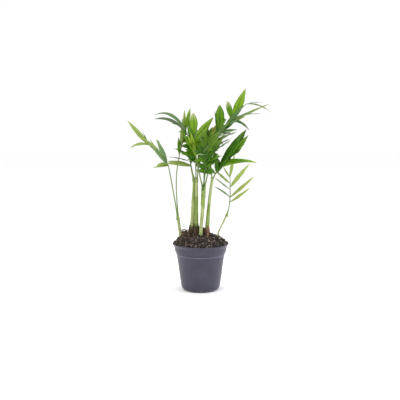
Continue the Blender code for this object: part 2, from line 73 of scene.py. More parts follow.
def addNode(tree, kind, inputs=None, **settings):
    # Adds one node, sets its properties, and sets or links its inputs by name or number.
    made = tree.nodes.new("ShaderNode" + kind)
    for name, value in settings.items():
        setattr(made, name, value)
    for name, value in (inputs or {}).items():
        if isinstance(value, bpy.types.NodeSocket):
            tree.links.new(value, made.inputs[name])
        else:
            made.inputs[name].default_value = value
    return made


def newMaterial(name, base, roughness, ior=1.5, **sockets):
    # A plain surface of one colour; the patterns are added to it afterwards.
    material = bpy.data.materials.new(name)
    material.use_nodes = True
    tree = material.node_tree
    surface = tree.nodes["Principled BSDF"]
    for socket, value in {"Base Color": colour(base), "Roughness": roughness, "IOR": ior, **sockets}.items():
        surface.inputs[socket.replace("_", " ")].default_value = value
    material.diffuse_color = colour(base)
    return material, tree, surface


def noiseOf(tree, scale, detail=4, roughness=0.5):
    # Noise in the object's own metres; a smaller scale along one axis draws it out along that axis.
    place = addNode(tree, "TexCoord")
    stretch = addNode(tree, "Mapping", {"Vector": place.outputs["Object"], "Scale": scale})
    inputs = {"Vector": stretch.outputs[0], "Scale": 1, "Detail": detail, "Roughness": roughness}
    return addNode(tree, "TexNoise", inputs).outputs[0]


def mottle(tree, surface, pattern, dark, light, low, high):
    # Carries the base colour from dark to light by a pattern.
    ramp = addNode(tree, "MapRange", {"Value": pattern, "From Min": low, "From Max": high})
    mixed = addNode(tree, "Mix", {0: ramp.outputs[0], 6: colour(dark), 7: colour(light)}, data_type="RGBA")
    tree.links.new(mixed.outputs[2], surface.inputs["Base Color"])
    return mixed


def standOut(tree, surface, pattern, height, strength):
    # Stands a pattern out of the surface by a height in millimetres.
    bump = addNode(tree, "Bump", {"Height": pattern, "Distance": height * mm, "Strength": strength})
    tree.links.new(bump.outputs[0], surface.inputs["Normal"])


# Materials, each named for what the real surface is, or for the highlight painted in it

def potPlastic(name, dark, light):
    # Thermoformed polystyrene sheet: a satin grey-lilac skin with a dull bloom and fine drag marks.
    material, tree, surface = newMaterial(name, light, 0.4, 1.5, Specular_IOR_Level=0.45, Sheen_Weight=0.09,
                                          Sheen_Roughness=0.4)
    cloud = noiseOf(tree, (38, 38, 38), 4, 0.55)
    mottle(tree, surface, cloud, dark, light, 0.3, 0.7)
    rough = addNode(tree, "MapRange", {"Value": cloud, "To Min": 0.38, "To Max": 0.52})
    tree.links.new(rough.outputs[0], surface.inputs["Roughness"])
    standOut(tree, surface, noiseOf(tree, (900, 900, 60), 3), 0.06, 0.5)
    return material


def grainySkin(name, dark, light, roughness, scale, grain, spread, relief, **sockets):
    # A skin that one noise both mottles, within its spread, and stands out, by its relief's height and strength.
    material, tree, surface = newMaterial(name, light, roughness, **sockets)
    noise = noiseOf(tree, scale, 4, grain)
    mottle(tree, surface, noise, dark, light, *spread)
    standOut(tree, surface, noise, *relief)
    return material


def barkPiece(name, dark, light, roughness=0.9):
    # Composted bark and peat: dry, fibrous and matte, each piece of one tone with a darker grain.
    return grainySkin(name, dark, light, roughness, (900, 900, 900), 0.65, (0.35, 0.62), (0.35, 0.8))


def caneSkin(name, dark, light):
    # A young palm cane: smooth green skin with a chalky wax bloom that lies in upright streaks.
    return grainySkin(name, dark, light, 0.5, (700, 700, 55), 0.6, (0.36, 0.6), (0.08, 0.6), ior=1.45,
                      Specular_IOR_Level=0.3)


def drySheath(name, dark, light):
    # A dead leaf sheath: papery brown fibre with dark upright streaks.
    return grainySkin(name, dark, light, 0.85, (1100, 1100, 90), 0.7, (0.38, 0.6), (0.3, 0.8))


def leafSkin(name, base, shade, roughness, fade=0.12):
    # A palm leaflet: thin waxy skin over parallel veins, lighter between the midrib and the edge.
    material, tree, surface = newMaterial(name, base, roughness, 1.42, Specular_IOR_Level=0.16)

    def reckon(operation, a, b=0.0, c=0.0):
        return addNode(tree, "Math", {0: a, 1: b, 2: c}, operation=operation).outputs[0]

    place = addNode(tree, "UVMap", uv_map="surface").outputs[0]
    across = addNode(tree, "SeparateXYZ", {"Vector": place}).outputs[0]
    vein = reckon("COSINE", reckon("MULTIPLY", across, 2 * pi / 1.2))
    stretch = addNode(tree, "Mapping", {"Vector": place, "Scale": (0.8, 0.05, 1)})
    inputs = {"Vector": stretch.outputs[0], "Scale": 1, "Detail": 3, "Roughness": 0.55}
    grain = reckon("MULTIPLY_ADD", vein, 0.06, addNode(tree, "TexNoise", inputs).outputs[0])
    blade = addNode(tree, "UVMap", uv_map="blade").outputs[0]
    side, along, _ = addNode(tree, "SeparateXYZ", {"Vector": blade}).outputs
    hollow = reckon("COSINE", reckon("MULTIPLY", side, 2 * pi))
    ripe = reckon("MULTIPLY_ADD", along, 0.2, reckon("MULTIPLY_ADD", hollow, -0.13, grain))
    skin = mottle(tree, surface, ripe, shade, base, 0.4, 0.74)
    # the tip is the oldest part, and fades first
    old = addNode(tree, "MapRange", {"Value": along, "From Min": 0.6, "To Max": fade})
    faded = addNode(tree, "Mix", {0: old.outputs[0], 6: skin.outputs[2], 7: colour("#a5a67e")}, data_type="RGBA")
    tree.links.new(faded.outputs[2], surface.inputs["Base Color"])
    standOut(tree, surface, grain, 0.25, 0.55)
    return material


# Leaf tones: the upper skin, its shade, the paler under skin and its shade
leafTones = {
    "dark": ("#2e5706", "#183303", "#3a6012", "#29480b"),
    "deep": ("#3a6a08", "#1c3c02", "#4c6d1e", "#395714"),
    "mid": ("#52800c", "#2c5404", "#5f8228", "#4a691c"),
    "fresh": ("#70951a", "#47700e", "#779436", "#607e28"),
    "bright": ("#92b034", "#648414", "#94ad44", "#7a9632"),
    "lime": ("#9aaa5a", "#728838", "#9cac66", "#80944e"),
    "olive": ("#8b9e50", "#5e7432", "#83955a", "#6c8046"),
    "blue": ("#56783f", "#385628", "#688054", "#547044"),
    "dusk": ("#45583a", "#2b3f29", "#5c6c50", "#485842"),
    "sage": ("#75905a", "#52704a", "#7c9468", "#667d54"),
    "bronze": ("#75721c", "#465810", "#6f7836", "#586228"),
}
leafSkins = {"tip": leafSkin("dryTip", "#8f8256", "#6b6040", 0.75)}
for tone, (base, shade, under, underShade) in leafTones.items():
    leafSkins[tone] = leafSkin(tone + "Leaf", base, shade, 0.4)
    leafSkins[tone + "Under"] = leafSkin(tone + "LeafUnder", under, underShade, 0.55)
    leafSkins[tone + "Faded"] = leafSkin(tone + "LeafFaded", base, shade, 0.45, 1.05)
stalkSkin = caneSkin("stalkSkin", "#5c7335", "#7b8f50")
ribSkin = caneSkin("ribSkin", "#415f22", "#5a7630")
shadedSkin = caneSkin("shadedRib", "#2b4812", "#40621e")
caneSkins = {
    "pale": caneSkin("paleCane", "#7f8a56", "#a2a87c"),
    "green": caneSkin("greenCane", "#5f7a34", "#86984f"),
    "waxy": caneSkin("waxyCane", "#7c8c50", "#a0aa76"),
}
scarSkin = drySheath("nodeScar", "#5c5530", "#857c4c")
darkHusk = drySheath("darkHusk", "#21180d", "#46351f")
brownHusk = drySheath("brownHusk", "#3b2a17", "#6b5435")
orangeHusk = drySheath("orangeHusk", "#6e5434", "#a0794a")
# the second pot skin is paler: a painted highlight along the bead
potSkins = [potPlastic("potSheet", "#2b2838", "#383648"), potPlastic("paintedBeadHighlight", "#47455a", "#67657a")]
peatSkin = barkPiece("peat", "#0d0a08", "#201812", 0.95)
chipSkins = [
    barkPiece("blackBark", "#120d0a", "#251c16"),
    barkPiece("darkBark", "#1d1510", "#3a2c22"),
    barkPiece("redBark", "#30251f", "#57453a"),
    barkPiece("greyBark", "#4d4441", "#83776f"),
    barkPiece("paleBark", "#73665e", "#a5978c"),
]
rootSkin = barkPiece("rootSkin", "#3d2f22", "#6d583f", 0.8)
print("materials ready:", len(bpy.data.materials))


# Shapes: arrays of points, faces, surface coordinates and slots, before they become a mesh

def gridFaces(rows, columns):
    # Corner numbers of the faces between closed rings, row by row.
    number = np.arange(rows * columns).reshape(rows, columns)
    beside = np.roll(number, -1, axis=1)
    return np.stack([number[:-1], beside[:-1], beside[1:], number[1:]], axis=-1).reshape(-1, 4)


def ringShape(rings, slots=0, surface=None):
    # Closed rings carried one after another, with a point at each end: rings is rows x sides x 3.
    rows, sides, _ = rings.shape
    side = np.arange(sides)
    beside = np.roll(side, -1)
    first, low = np.full(sides, rows * sides), (rows - 1) * sides
    caps = [np.stack([first, beside, side], -1), np.stack([first + 1, side + low, beside + low], -1)]
    slots = np.broadcast_to(slots, (rows - 1, sides))
    if surface is None:
        surface = np.zeros((rows, sides, 2))
    return dict(points=np.vstack([rings.reshape(-1, 3), rings[0].mean(0), rings[-1].mean(0)]),
                quads=gridFaces(rows, sides), tris=np.vstack(caps),
                slots=np.concatenate([slots.ravel(), slots[0], slots[-1]]),
                surface=np.vstack([surface.reshape(rows * sides, -1), surface[0].mean(0), surface[-1].mean(0)]))


def joinShapes(shapes):
    # One shape from many: the face numbers of each move on by the points before it.
    starts = np.cumsum([0] + [len(shape["points"]) for shape in shapes[:-1]])
    quadSlots = [shape["slots"][:len(shape["quads"])] for shape in shapes]
    triSlots = [shape["slots"][len(shape["quads"]):] for shape in shapes]
    return dict(points=np.vstack([shape["points"] for shape in shapes]),
                quads=np.vstack([shape["quads"] + start for shape, start in zip(shapes, starts)]),
                tris=np.vstack([shape["tris"] + start for shape, start in zip(shapes, starts)]),
                slots=np.concatenate(quadSlots + triSlots),
                surface=np.vstack([shape["surface"] for shape in shapes]))


def copiesOf(points, quads, tris, tone):
    # Many small shapes of one make: points is copies x points x 3, and tone the slot of each copy.
    count, size, _ = points.shape
    starts = (np.arange(count) * size)[:, None, None]
    return dict(points=points.reshape(-1, 3), quads=(quads[None] + starts).reshape(-1, 4),
                tris=(tris[None] + starts).reshape(-1, 3), surface=np.zeros((count * size, 2)),
                slots=np.concatenate([np.repeat(tone, len(quads)), np.repeat(tone, len(tris))]))


def meshOf(name, shape):
    # A mesh of the shape's points and faces, turned from millimetres to metres.
    mesh = bpy.data.meshes.new(name)
    mesh.from_pydata((shape["points"] * mm).tolist(), [], shape["quads"].tolist() + shape["tris"].tolist())
    return mesh


def addObject(name, data):
    # A new object of the data, in the scene.
    made = bpy.data.objects.new(name, data)
    bpy.context.scene.collection.objects.link(made)
    return made


def putPiece(name, shape, materials, replaced=()):
    # Makes a mesh of the shape, gives it its materials, and rides it on the root.
    mesh = meshOf(name, shape)
    corners = np.concatenate([shape["quads"].ravel(), shape["tris"].ravel()])
    for layer, first in (("surface", 0), ("blade", 2)):
        if shape["surface"].shape[1] > first:
            places = mesh.uv_layers.new(name=layer)
            places.data.foreach_set("uv", shape["surface"][corners, first:first + 2].ravel())
    for material in materials:
        mesh.materials.append(material)
    mesh.polygons.foreach_set("material_index", shape["slots"].astype(np.int32))
    mesh.shade_smooth()
    mesh.set_sharp_from_angle(angle=radians(48))
    piece = addObject(name, mesh)
    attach(piece, "root")
    if replaced:
        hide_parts(*replaced)
    return piece


def titled(kind, name):
    # The piece's name: the leaflets of the frond leftBack are leafletsLeftBack.
    return kind + name[0].upper() + name[1:]


def nodeOf(kind, name):
    # The solid's name in the frame: the leftBack frond is frond_left_back.
    return kind + "_" + "".join("_" + c.lower() if c.isupper() else c for c in name)


def unit(vectors):
    # Each vector over its own length.
    return vectors / np.linalg.norm(vectors, axis=-1, keepdims=True)


def spreadOver(values, share):
    # Named values spread evenly over a length, read at shares of it.
    return np.interp(share, np.linspace(0, 1, len(values)), values)


def directions(heading, rise, steps):
    # The way a limb runs at the middle of each of its steps, as its heading and rise change evenly.
    share = (np.arange(steps) + 0.5) / steps
    turn, climb = np.radians(spreadOver(heading, share)), np.radians(spreadOver(rise, share))
    return np.column_stack([np.cos(climb) * np.cos(turn), np.cos(climb) * np.sin(turn), np.sin(climb)])


def walk(start, ways, length):
    # One equal step along each direction, from the start.
    return np.vstack([start, start + np.cumsum(ways * (length / len(ways)), axis=0)])


def smoothPath(points, each):
    # A curve through all the points that leaves each one along the line between its neighbours.
    padded = np.vstack([2 * points[0] - points[1], points, 2 * points[-1] - points[-2]])
    t = np.linspace(0, 1, each, endpoint=False)[None, :, None]
    a, b, c, d = (padded[i:len(padded) - 3 + i, None] for i in range(4))
    curve = 0.5 * (2 * b + (c - a) * t + (2 * a - 5 * b + 4 * c - d) * t ** 2 + (3 * b - a - 3 * c + d) * t ** 3)
    return np.vstack([curve.reshape(-1, 3), points[-1]])


def sideOf(way):
    # The level direction to the left of a limb that runs this way.
    return unit(np.array([-way[1], way[0], 0.0]))


def tubeRings(points, radius, sides):
    # Circles carried square along a path: radius holds one value for each ring, or one for each point.
    ways = unit(np.gradient(points, axis=0))
    aside = sideOf(ways.mean(0) + [0.000001, 0, 0])
    across = unit(aside - ways * (ways @ aside)[:, None])[:, None]
    over = np.cross(ways[:, None], across)
    angle = np.linspace(0, 2 * pi, sides, endpoint=False)[None, :, None]
    radius = np.broadcast_to(np.reshape(radius, (len(points), -1)), (len(points), sides))[..., None]
    return points[:, None] + radius * (across * np.cos(angle) + over * np.sin(angle))


def ripple(places, size, seed, waves=14):
    # A soft random field about -1 to 1: level waves of about one size that run all ways.
    draw = np.random.default_rng(seed)
    way = draw.uniform(0, 2 * pi, waves)
    turns = 2 * pi / (size * draw.uniform(0.7, 1.5, waves))
    ripples = np.tensordot(places[..., :2], np.stack([np.cos(way), np.sin(way)]) * turns, axes=1)
    return np.sin(ripples + draw.uniform(0, 2 * pi, waves)).sum(-1) / waves ** 0.5


# The pot: a turned profile with its heel notched between the drain holes

pot = dict(
    outside=((33, 0), (37.4, 1.2), (40.4, 4.6), (42.0, 9.6), (50.9, 75.4), (51.3, 76.6), (52.3, 77.3),
             (52.3, 78.4), (51.4, 79.1), (51.6, 79.9), (54.0, 81.8), (55.0, 84.6), (55.8, 90), (56.2, 94.6),
             (58.6, 97.6), (59.8, 99.4), (59.8, 100.5)),
    lip=((59.7, 100.8), (59.4, 101), (59.0, 100.9), (58.8, 100.4)),
    wall=1.0, sides=168, roundings=2,
    floorEdge=((37.6, 2.2), (33, 0.4)), floorRings=(2, 10, 18, 26, 30),
    holeCount=6, holeRadius=3.0, holeRing=26, holeSides=24,
    notchDepth=1.1, notchWidth=13, notchFrom=28, notchTop=6,  # the notch is in degrees and millimetres
    ripple=0.12,  # the sheet's waviness
    bead=(76.7, 79.0),  # heights between which the sheet is painted pale as the bead's highlight
)


def roundCorners(profile, times):
    # Each pass swaps every corner for two points, a quarter of the way along its two sides.
    points = np.array(profile, float)
    for _ in range(times):
        low, high = points[:-1], points[1:]
        pairs = np.stack([0.75 * low + 0.25 * high, 0.25 * low + 0.75 * high], axis=1).reshape(-1, 2)
        points = np.vstack([points[:1], pairs, points[-1:]])
    return points


def turnedRings(profile, sides):
    # A profile of radius and height turned about the pot's axis.
    angle = np.linspace(0, 2 * pi, sides, endpoint=False)
    radius, height = profile[:, :1], profile[:, 1:]
    return np.stack([radius * np.cos(angle), radius * np.sin(angle), height + 0 * angle], axis=-1)


def notchHeel(rings):
    # Lifts the foot in a cosine notch at each drain hole, fading in toward the hole and up the wall.
    x, y, z = rings[..., 0], rings[..., 1], rings[..., 2]
    turn = np.degrees(np.arctan2(y, x)) % (360 / pot["holeCount"]) - 180 / pot["holeCount"]
    near = np.cos(np.clip(turn / pot["notchWidth"], -1, 1) * pi / 2) ** 2
    outward = np.clip((np.hypot(x, y) - pot["notchFrom"]) / 6, 0, 1)
    low = np.clip(1 - z / pot["notchTop"], 0, 1)
    wave = pot["ripple"] * ripple(np.stack([np.arctan2(y, x) * 50, z], axis=-1), 30, 3)
    out = 1 + wave / np.maximum(np.hypot(x, y), 20) * np.clip(z / 10, 0, 1)
    return np.stack([x * out, y * out, z + pot["notchDepth"] * near * outward * low], axis=-1)


def makePot():
    # One closed profile is turned: under the floor, up the outside, over the lip, down the inside and in.
    wall = pot["wall"]
    outside = roundCorners(pot["outside"], pot["roundings"])
    inside = roundCorners([(r - wall, z) for r, z in pot["outside"][3:-1]], pot["roundings"])[::-1]
    floorEdge = roundCorners([(r, wall + z) for r, z in pot["floorEdge"]], 1)
    flat = [(r, 0) for r in pot["floorRings"]]
    inner = [(r, wall) for r in pot["floorRings"][::-1]]
    profile = np.vstack([flat, outside, pot["lip"], inside, floorEdge, inner])
    shape = ringShape(notchHeel(turnedRings(profile, pot["sides"])))
    height = 0.5 * (profile[1:, 1] + profile[:-1, 1])
    # the outside faces between the bead's heights take the paler skin, a painted highlight
    low, high = pot["bead"]
    highlightBand = (height > low) & (height < high) & (np.arange(len(height)) < len(flat) + len(outside))
    shape["slots"][:highlightBand.size * pot["sides"]] = np.repeat(highlightBand, pot["sides"])
    piece = putPiece("nurseryPot", shape, potSkins, ["pot"])
    drillHoles(piece)


def drillHoles(piece):
    # Cuts an upright hole of holeRadius through the floor at each place on the ring of holes.
    drills = bpy.data.collections.new("drills")
    bpy.context.scene.collection.children.link(drills)
    for k in range(pot["holeCount"]):
        turn = 2 * pi * (k + 0.5) / pot["holeCount"]
        foot = np.array([pot["holeRing"] * cos(turn), pot["holeRing"] * sin(turn), -3])
        path = foot + np.linspace(0, 8, 3)[:, None] * [0, 0, 1]
        tube = ringShape(tubeRings(path, np.full(3, pot["holeRadius"]), pot["holeSides"]))
        drills.objects.link(bpy.data.objects.new("drill", meshOf("drill", tube)))
    cut = piece.modifiers.new("drainHoles", "BOOLEAN")
    cut.operation = "DIFFERENCE"
    cut.solver = "EXACT"
    cut.operand_type = "COLLECTION"
    cut.collection = drills
    bpy.context.view_layer.update()
    drilled = bpy.data.meshes.new_from_object(piece.evaluated_get(bpy.context.evaluated_depsgraph_get()))
    piece.modifiers.clear()
    piece.data = drilled
    for drill in list(drills.objects):
        bpy.data.objects.remove(drill)
    bpy.data.collections.remove(drills)


makePot()
print("pot made")


# The soil: a heap of peat with bark chips, fibres, pale flecks and loops of old root

soil = dict(
    edge=100, heap=16, reach=57, shoulder=3.4, floor=2.4, sides=200, topRings=56,
    side=((36.8, 2.4), (40.4, 10), (49.1, 74), (49.8, 78), (53.4, 84), (54.4, 92), (57.0, 97.6)),
    lumps=(((-38, 14), 15, 8), ((-22, -6), 12, 3), ((0, -16), 11, 2), ((18, 6), 13, 2), ((33, -20), 11, 2),
           ((40, 6), 12, 2), ((-12, 34), 14, 4), ((20, 38), 12, 3), ((-34, -28), 11, 2), ((2, -44), 11, 1.5)),
    tufts=(((-16, 0), 8, 5.5), ((-36, 8), 7, 3.5), ((13, -3), 6, 2)),  # litter caught round the canes' feet
    crumbs=((0.9, 11, 11), (0.8, 5, 12), (0.6, 2.6, 13)),  # height, size and seed
)


def moundsAt(x, y, mounds):
    # The sum of soft round mounds, each with its middle, its size and its height.
    return sum(high * np.exp(-((x - cx) ** 2 + (y - cy) ** 2) / size ** 2) for (cx, cy), size, high in mounds)


def soilHeight(x, y):
    # The source's heap: a dome that falls to its edge, with soft lumps.
    reach = np.minimum(np.hypot(x, y) / soil["reach"], 1)
    dome = soil["edge"] + soil["heap"] * (1 - reach ** soil["shoulder"])
    return dome + moundsAt(x, y, soil["lumps"]) * (1 - reach ** 6)


def roughHeight(x, y):
    # The heap with its crumbs: three sizes of ripple, still at the rim.
    place = np.stack(np.broadcast_arrays(x, y), axis=-1)
    crumbs = sum(high * ripple(place, size, seed) for high, size, seed in soil["crumbs"])
    crumbs = crumbs + moundsAt(x, y, soil["tufts"])
    return soilHeight(x, y) + crumbs * (1 - 0.55 * np.minimum(np.hypot(x, y) / 59, 1) ** 6) - 0.6


def makeHeap():
    # The heap is turned from its side's profile and even rings of the top, which then rise to the heap's height.
    radius = 56.8 * (1 - np.linspace(0, 1, soil["topRings"]) ** 1.05) + 0.4
    top = np.stack([radius, np.full(len(radius), soil["edge"])], axis=1)
    rings = turnedRings(np.vstack([[(4, soil["floor"])], soil["side"], top]), soil["sides"])
    top = rings[len(soil["side"]) + 1:]
    top[..., 2] = roughHeight(top[..., 0], top[..., 1])
    top[0, :, 2] = 98.6
    putPiece("peatHeap", ringShape(rings), [peatSkin], ["soil"])


def turnsFrom(angles):
    # Turning matrices from three angles each: about Z, then Y, then X.
    (a, b, c), (p, q, r) = np.cos(angles.T), np.sin(angles.T)
    rows = [a * b, a * q * r - p * c, a * q * c + p * r, p * b, p * q * r + a * c, p * q * c - a * r, -q, b * r, b * c]
    return np.stack(rows, -1).reshape(-1, 3, 3)


chips = dict(
    count=1900, seed=5, length=(2.4, 7.5), width=(0.4, 0.8), thickness=(0.16, 0.42),  # shares of the length
    tilt=36, shares=(0.36, 0.25, 0.16, 0.16, 0.07),  # how many are of each bark
    rimCount=230, rimRadius=(54.5, 58.8), rimHeight=(98.4, 100.8), rimLength=(2.2, 4.6), rimTilt=16,
)


def chipShape(draw, places, length, tilt):
    # Each chip is a rounded slab of three rings and two points, pushed about at random, turned and put down.
    count, sides = len(places), 6
    angle = np.linspace(0, 2 * pi, sides, endpoint=False)
    ring = np.stack([np.cos(angle), np.sin(angle), 0 * angle], -1)
    slab = np.concatenate([ring * (size, size, 1) + (0, 0, z) for z, size in ((-0.5, 0.72), (0.1, 1), (0.5, 0.66))])
    slab = np.vstack([slab, [0, 0, -0.5], [0, 0, 0.5]])
    size = np.stack([length / 2, length / 2 * draw.uniform(*chips["width"], count),
                     length * draw.uniform(*chips["thickness"], count)], -1)
    points = slab * (1 + draw.uniform(-0.28, 0.28, (count, len(slab), 3))) * size[:, None]
    turns = turnsFrom(np.stack([draw.uniform(0, 2 * pi, count), np.radians(draw.normal(0, tilt, count)),
                                np.radians(draw.normal(0, tilt, count))], -1))
    points = np.einsum("nij,nkj->nki", turns, points) + places[:, None]
    side = np.arange(sides)
    beside, end = np.roll(side, -1), np.full(sides, 3 * sides)
    caps = np.vstack([np.stack([end, beside, side], -1), np.stack([end + 1, side + 12, beside + 12], -1)])
    tone = draw.choice(len(chips["shares"]), count, p=chips["shares"])
    return copiesOf(points, gridFaces(3, sides), caps, tone)


def makeChips():
    # Chips lie thinly toward the edge and close in the middle, and a row of small ones lies on the rim.
    draw = np.random.default_rng(chips["seed"])
    count = chips["count"]
    radius = 56.5 * draw.uniform(0, 1, count) ** 0.52
    turn = draw.uniform(0, 2 * pi, count)
    x, y = radius * np.cos(turn), radius * np.sin(turn)
    low, high = chips["length"]
    length = low + (high - low) * draw.uniform(0, 1, count) ** 2.2
    places = np.stack([x, y, roughHeight(x, y) + length * draw.uniform(0.02, 0.24, count)], -1)
    rim = chips["rimCount"]
    radius = draw.uniform(*chips["rimRadius"], rim)
    turn = draw.uniform(0, 2 * pi, rim)
    edge = np.stack([radius * np.cos(turn), radius * np.sin(turn), draw.uniform(*chips["rimHeight"], rim)], -1)
    shapes = [chipShape(draw, places, length, chips["tilt"]),
              chipShape(draw, edge, draw.uniform(*chips["rimLength"], rim), chips["rimTilt"])]
    putPiece("barkChips", joinShapes(shapes), chipSkins)


def threads(path, thick, tone, aside):
    # Thin four-sided tubes: a small ring at each station of each line, and a face over each end.
    count, stations = path.shape[:2]
    way = unit(np.gradient(path, axis=1))
    across = unit(np.cross(way, aside) + 0.000001)[:, :, None]
    over = np.cross(across, way[:, :, None])
    angle = np.linspace(0, 2 * pi, 4, endpoint=False)[:, None]
    rings = path[:, :, None] + thick[..., None, None] * (across * np.cos(angle) + over * np.sin(angle))
    ends = np.array([[0, 1, 2, 3], [3, 2, 1, 0]]) + np.array([[0], [(stations - 1) * 4]])
    quads = np.vstack([gridFaces(stations, 4)[:, ::-1], ends])
    return copiesOf(rings.reshape(count, -1, 3), quads, np.zeros((0, 3), int), tone)


fibres = dict(count=260, seed=8, length=(5, 16), radius=(0.12, 0.34), stations=7, shares=(0.45, 0.4, 0.15))


def makeFibres():
    # Each fibre is a thin tube on an arched and curled line that starts and ends in the heap.
    draw = np.random.default_rng(fibres["seed"])
    count, stations = fibres["count"], fibres["stations"]
    radius = 53 * draw.uniform(0, 1, count) ** 0.5
    turn = draw.uniform(0, 2 * pi, count)
    start = np.stack([radius * np.cos(turn), radius * np.sin(turn)], -1)
    heading = draw.uniform(0, 2 * pi, (count, 1))
    length = draw.uniform(*fibres["length"], count)
    t = np.linspace(0, 1, stations)
    bend = heading + draw.uniform(-1.4, 1.4, (count, 1)) * t
    step = (length / (stations - 1))[:, None, None] * np.stack([np.cos(bend), np.sin(bend)], -1)
    line = start[:, None] + np.cumsum(step, axis=1)
    line = line / np.maximum(np.hypot(line[..., 0], line[..., 1]) / 57, 1)[..., None]
    lift = draw.uniform(0.3, 2.6, (count, 1)) * np.sin(pi * t) ** 0.8
    z = roughHeight(line[..., 0], line[..., 1]) + lift
    path = np.concatenate([line, z[..., None]], -1)
    thick = draw.uniform(*fibres["radius"], (count, 1)) * (1 - 0.6 * t)
    tone = draw.choice(3, count, p=fibres["shares"])
    putPiece("peatFibres", threads(path, thick, tone, (0, 0, 1)), [chipSkins[1], rootSkin, chipSkins[4]])


shreds = dict(
    seed=12, stations=6, radius=(0.22, 0.55), shares=(0.5, 0.3, 0.2),
    feet=(((-18.6, 3), 5.4, 170, 22), ((-9.5, -4), 5.0, 190, 27), ((13.2, -6), 5.2, 60, 15), ((0, -14), 4.4, 20, 7)),
)  # each foot's middle, its radius, how many shreds it has, and the tallest


def makeShreds():
    # Ragged fibre round the canes' feet: each shred rises beside its cane, leans out and curls round it.
    draw = np.random.default_rng(shreds["seed"])
    t = np.linspace(0, 1, shreds["stations"])
    paths = []
    for (x, y), around, count, tallest in shreds["feet"]:
        height = tallest * draw.uniform(0.15, 1, (count, 1)) ** 1.2
        lean = draw.uniform(-0.4, 1.2, (count, 1)) + height * draw.uniform(-0.06, 0.06, (count, 1)) * t ** 2
        turn = draw.uniform(0, 2 * pi, (count, 1)) + draw.uniform(-0.9, 0.9, (count, 1)) * t ** 1.5
        x, y = x + (around + lean) * np.cos(turn), y + (around + lean) * np.sin(turn)
        paths.append(np.stack([x, y, soilHeight(x[:, :1], y[:, :1]) + 1 + height * t], -1))
    path = np.concatenate(paths)
    thick = draw.uniform(*shreds["radius"], (len(path), 1)) * (1 - 0.6 * t ** 2)
    tone = draw.choice(3, len(path), p=shreds["shares"])
    putPiece("footShreds", threads(path, thick, tone, (0.6, 0.8, 0)), [darkHusk, chipSkins[1], brownHusk])


# Loops of old root that stand out of the heap: from, to, height of the arch, thickness
rootLoops = (
    ((-41, 2), (-31, 5), 12, 0.9), ((-36, 0), (-27, 2), 10.5, 0.8), ((-44, 6), (-36, 8), 11, 0.7),
    ((-39, -3), (-30, 1), 8, 0.7), ((-33, 4), (-25, 7), 9, 0.7), ((-40, 12), (-30, 14), 9, 0.7),
    ((-30, -2), (-21, 1), 4.5, 0.6), ((-45, -2), (-37, -8), 4.0, 0.6), ((27, -2), (33, 4), 4.5, 0.6),
    ((24, 12), (16, 18), 4.0, 0.6), ((-6, 22), (-16, 26), 4.5, 0.7), ((36, -14), (44, -12), 3.0, 0.5),
    ((-20, -24), (-10, -27), 2.5, 0.5), ((22, -26), (14, -30), 2.5, 0.5),
)


def makeRootLoops():
    # Each loop runs level from one point to the other and up along a half sine, its ends sunk in the heap.
    t = np.linspace(0, 1, 22)[:, None]
    shapes = []
    for k, (start, end, height, thick) in enumerate(rootLoops):
        start, end = np.array(start, float), np.array(end, float)
        level = start + (end - start) * t + 1.2 * np.sin(2 * pi * t + k) * sideOf(np.append(end - start, 0))[:2]
        foot = soilHeight(level[:, 0], level[:, 1]) - 2
        path = np.column_stack([level, foot + (height + 2) * np.sin(pi * t[:, 0]) ** 0.7])
        knots = 1 + 0.18 * np.sin(17 * t[:, 0] + 2 * k)
        shapes.append(ringShape(tubeRings(path, thick * knots, 10)))
    putPiece("rootLoops", joinShapes(shapes), [rootSkin])


makeHeap()
makeChips()
makeFibres()
makeShreds()
makeRootLoops()
print("soil made")


# The canes: each a tube from its socket in the soil, with swollen nodes, leaf scars and a sheath's edge

def stem(foot, heading, rise, length, radii, skin, nodes=(), sheath=None):
    # nodes are shares of the length where a leaf has fallen; sheath is where the last leaf base wraps from.
    return dict(foot=foot, heading=heading, rise=rise, length=length, radii=radii, skin=skin, nodes=nodes,
                sheath=sheath)


stems = {
    "left": stem((-42, 8), (180, 180), (80, 83), 44, (4.2, 3.4, 3.0, 3.1), "pale", (0.36, 0.95), 0.62),
    "twinLeft": stem((-19.2, 4), (0, 0), (86, 89), 124, (5.6, 5.0, 4.7, 4.3, 3.0, 2.6), "waxy",
                     (0.22,), 0.62),
    "twinRight": stem((-9.5, -4), (0, 0), (89, 90), 124, (5.0, 4.3, 4.0, 3.4, 3.0, 2.6), "green",
                      (0.3,), 0.68),
    "centre": stem((0, -14), (0, 0, 0, 0), (88, 85, 87, 88), 108, (4.0, 3.7, 3.9, 4.2, 4.6, 4.8), "waxy",
                   (0.2, 0.83), 0.62),
    "rightCentre": stem((13.2, -6), (0, 0, 0), (88, 85, 81), 128, (5.0, 4.6, 3.8, 3.3, 3.0, 2.7), "green",
                        (0.26, 0.45), 0.6),
    "right": stem((33.6, -4), (0, 0), (74, 64, 66), 58, (2.4, 1.7, 1.6, 1.7), "pale", (0.3, 0.95), 0.55),
}
cane = dict(
    socket=4, stepLength=12, sides=28, each=9,
    flare=0.32, flareLength=5,  # the root collar, as a share of the radius, and how fast it fades
    swelling=0.07, swellLength=1.7, dip=0.12, dipAbove=1.6, scarLength=0.55, scarAbove=1.2,
    sheathStep=0.34, sheathSlope=4.5, sheathFade=14, sheathLip=0.7, edgeLength=0.3,
    roughness=0.035,
)


def stemPath(limb):
    # The source's rule: even steps from a socket in the soil, as the heading and rise change evenly.
    foot = np.array([*limb["foot"], 0.0])
    foot[2] = soilHeight(foot[0], foot[1]) - cane["socket"]
    steps = max(5, round(limb["length"] / cane["stepLength"]))
    ways = directions(limb["heading"], limb["rise"], steps)
    return walk(foot, ways, limb["length"]), ways


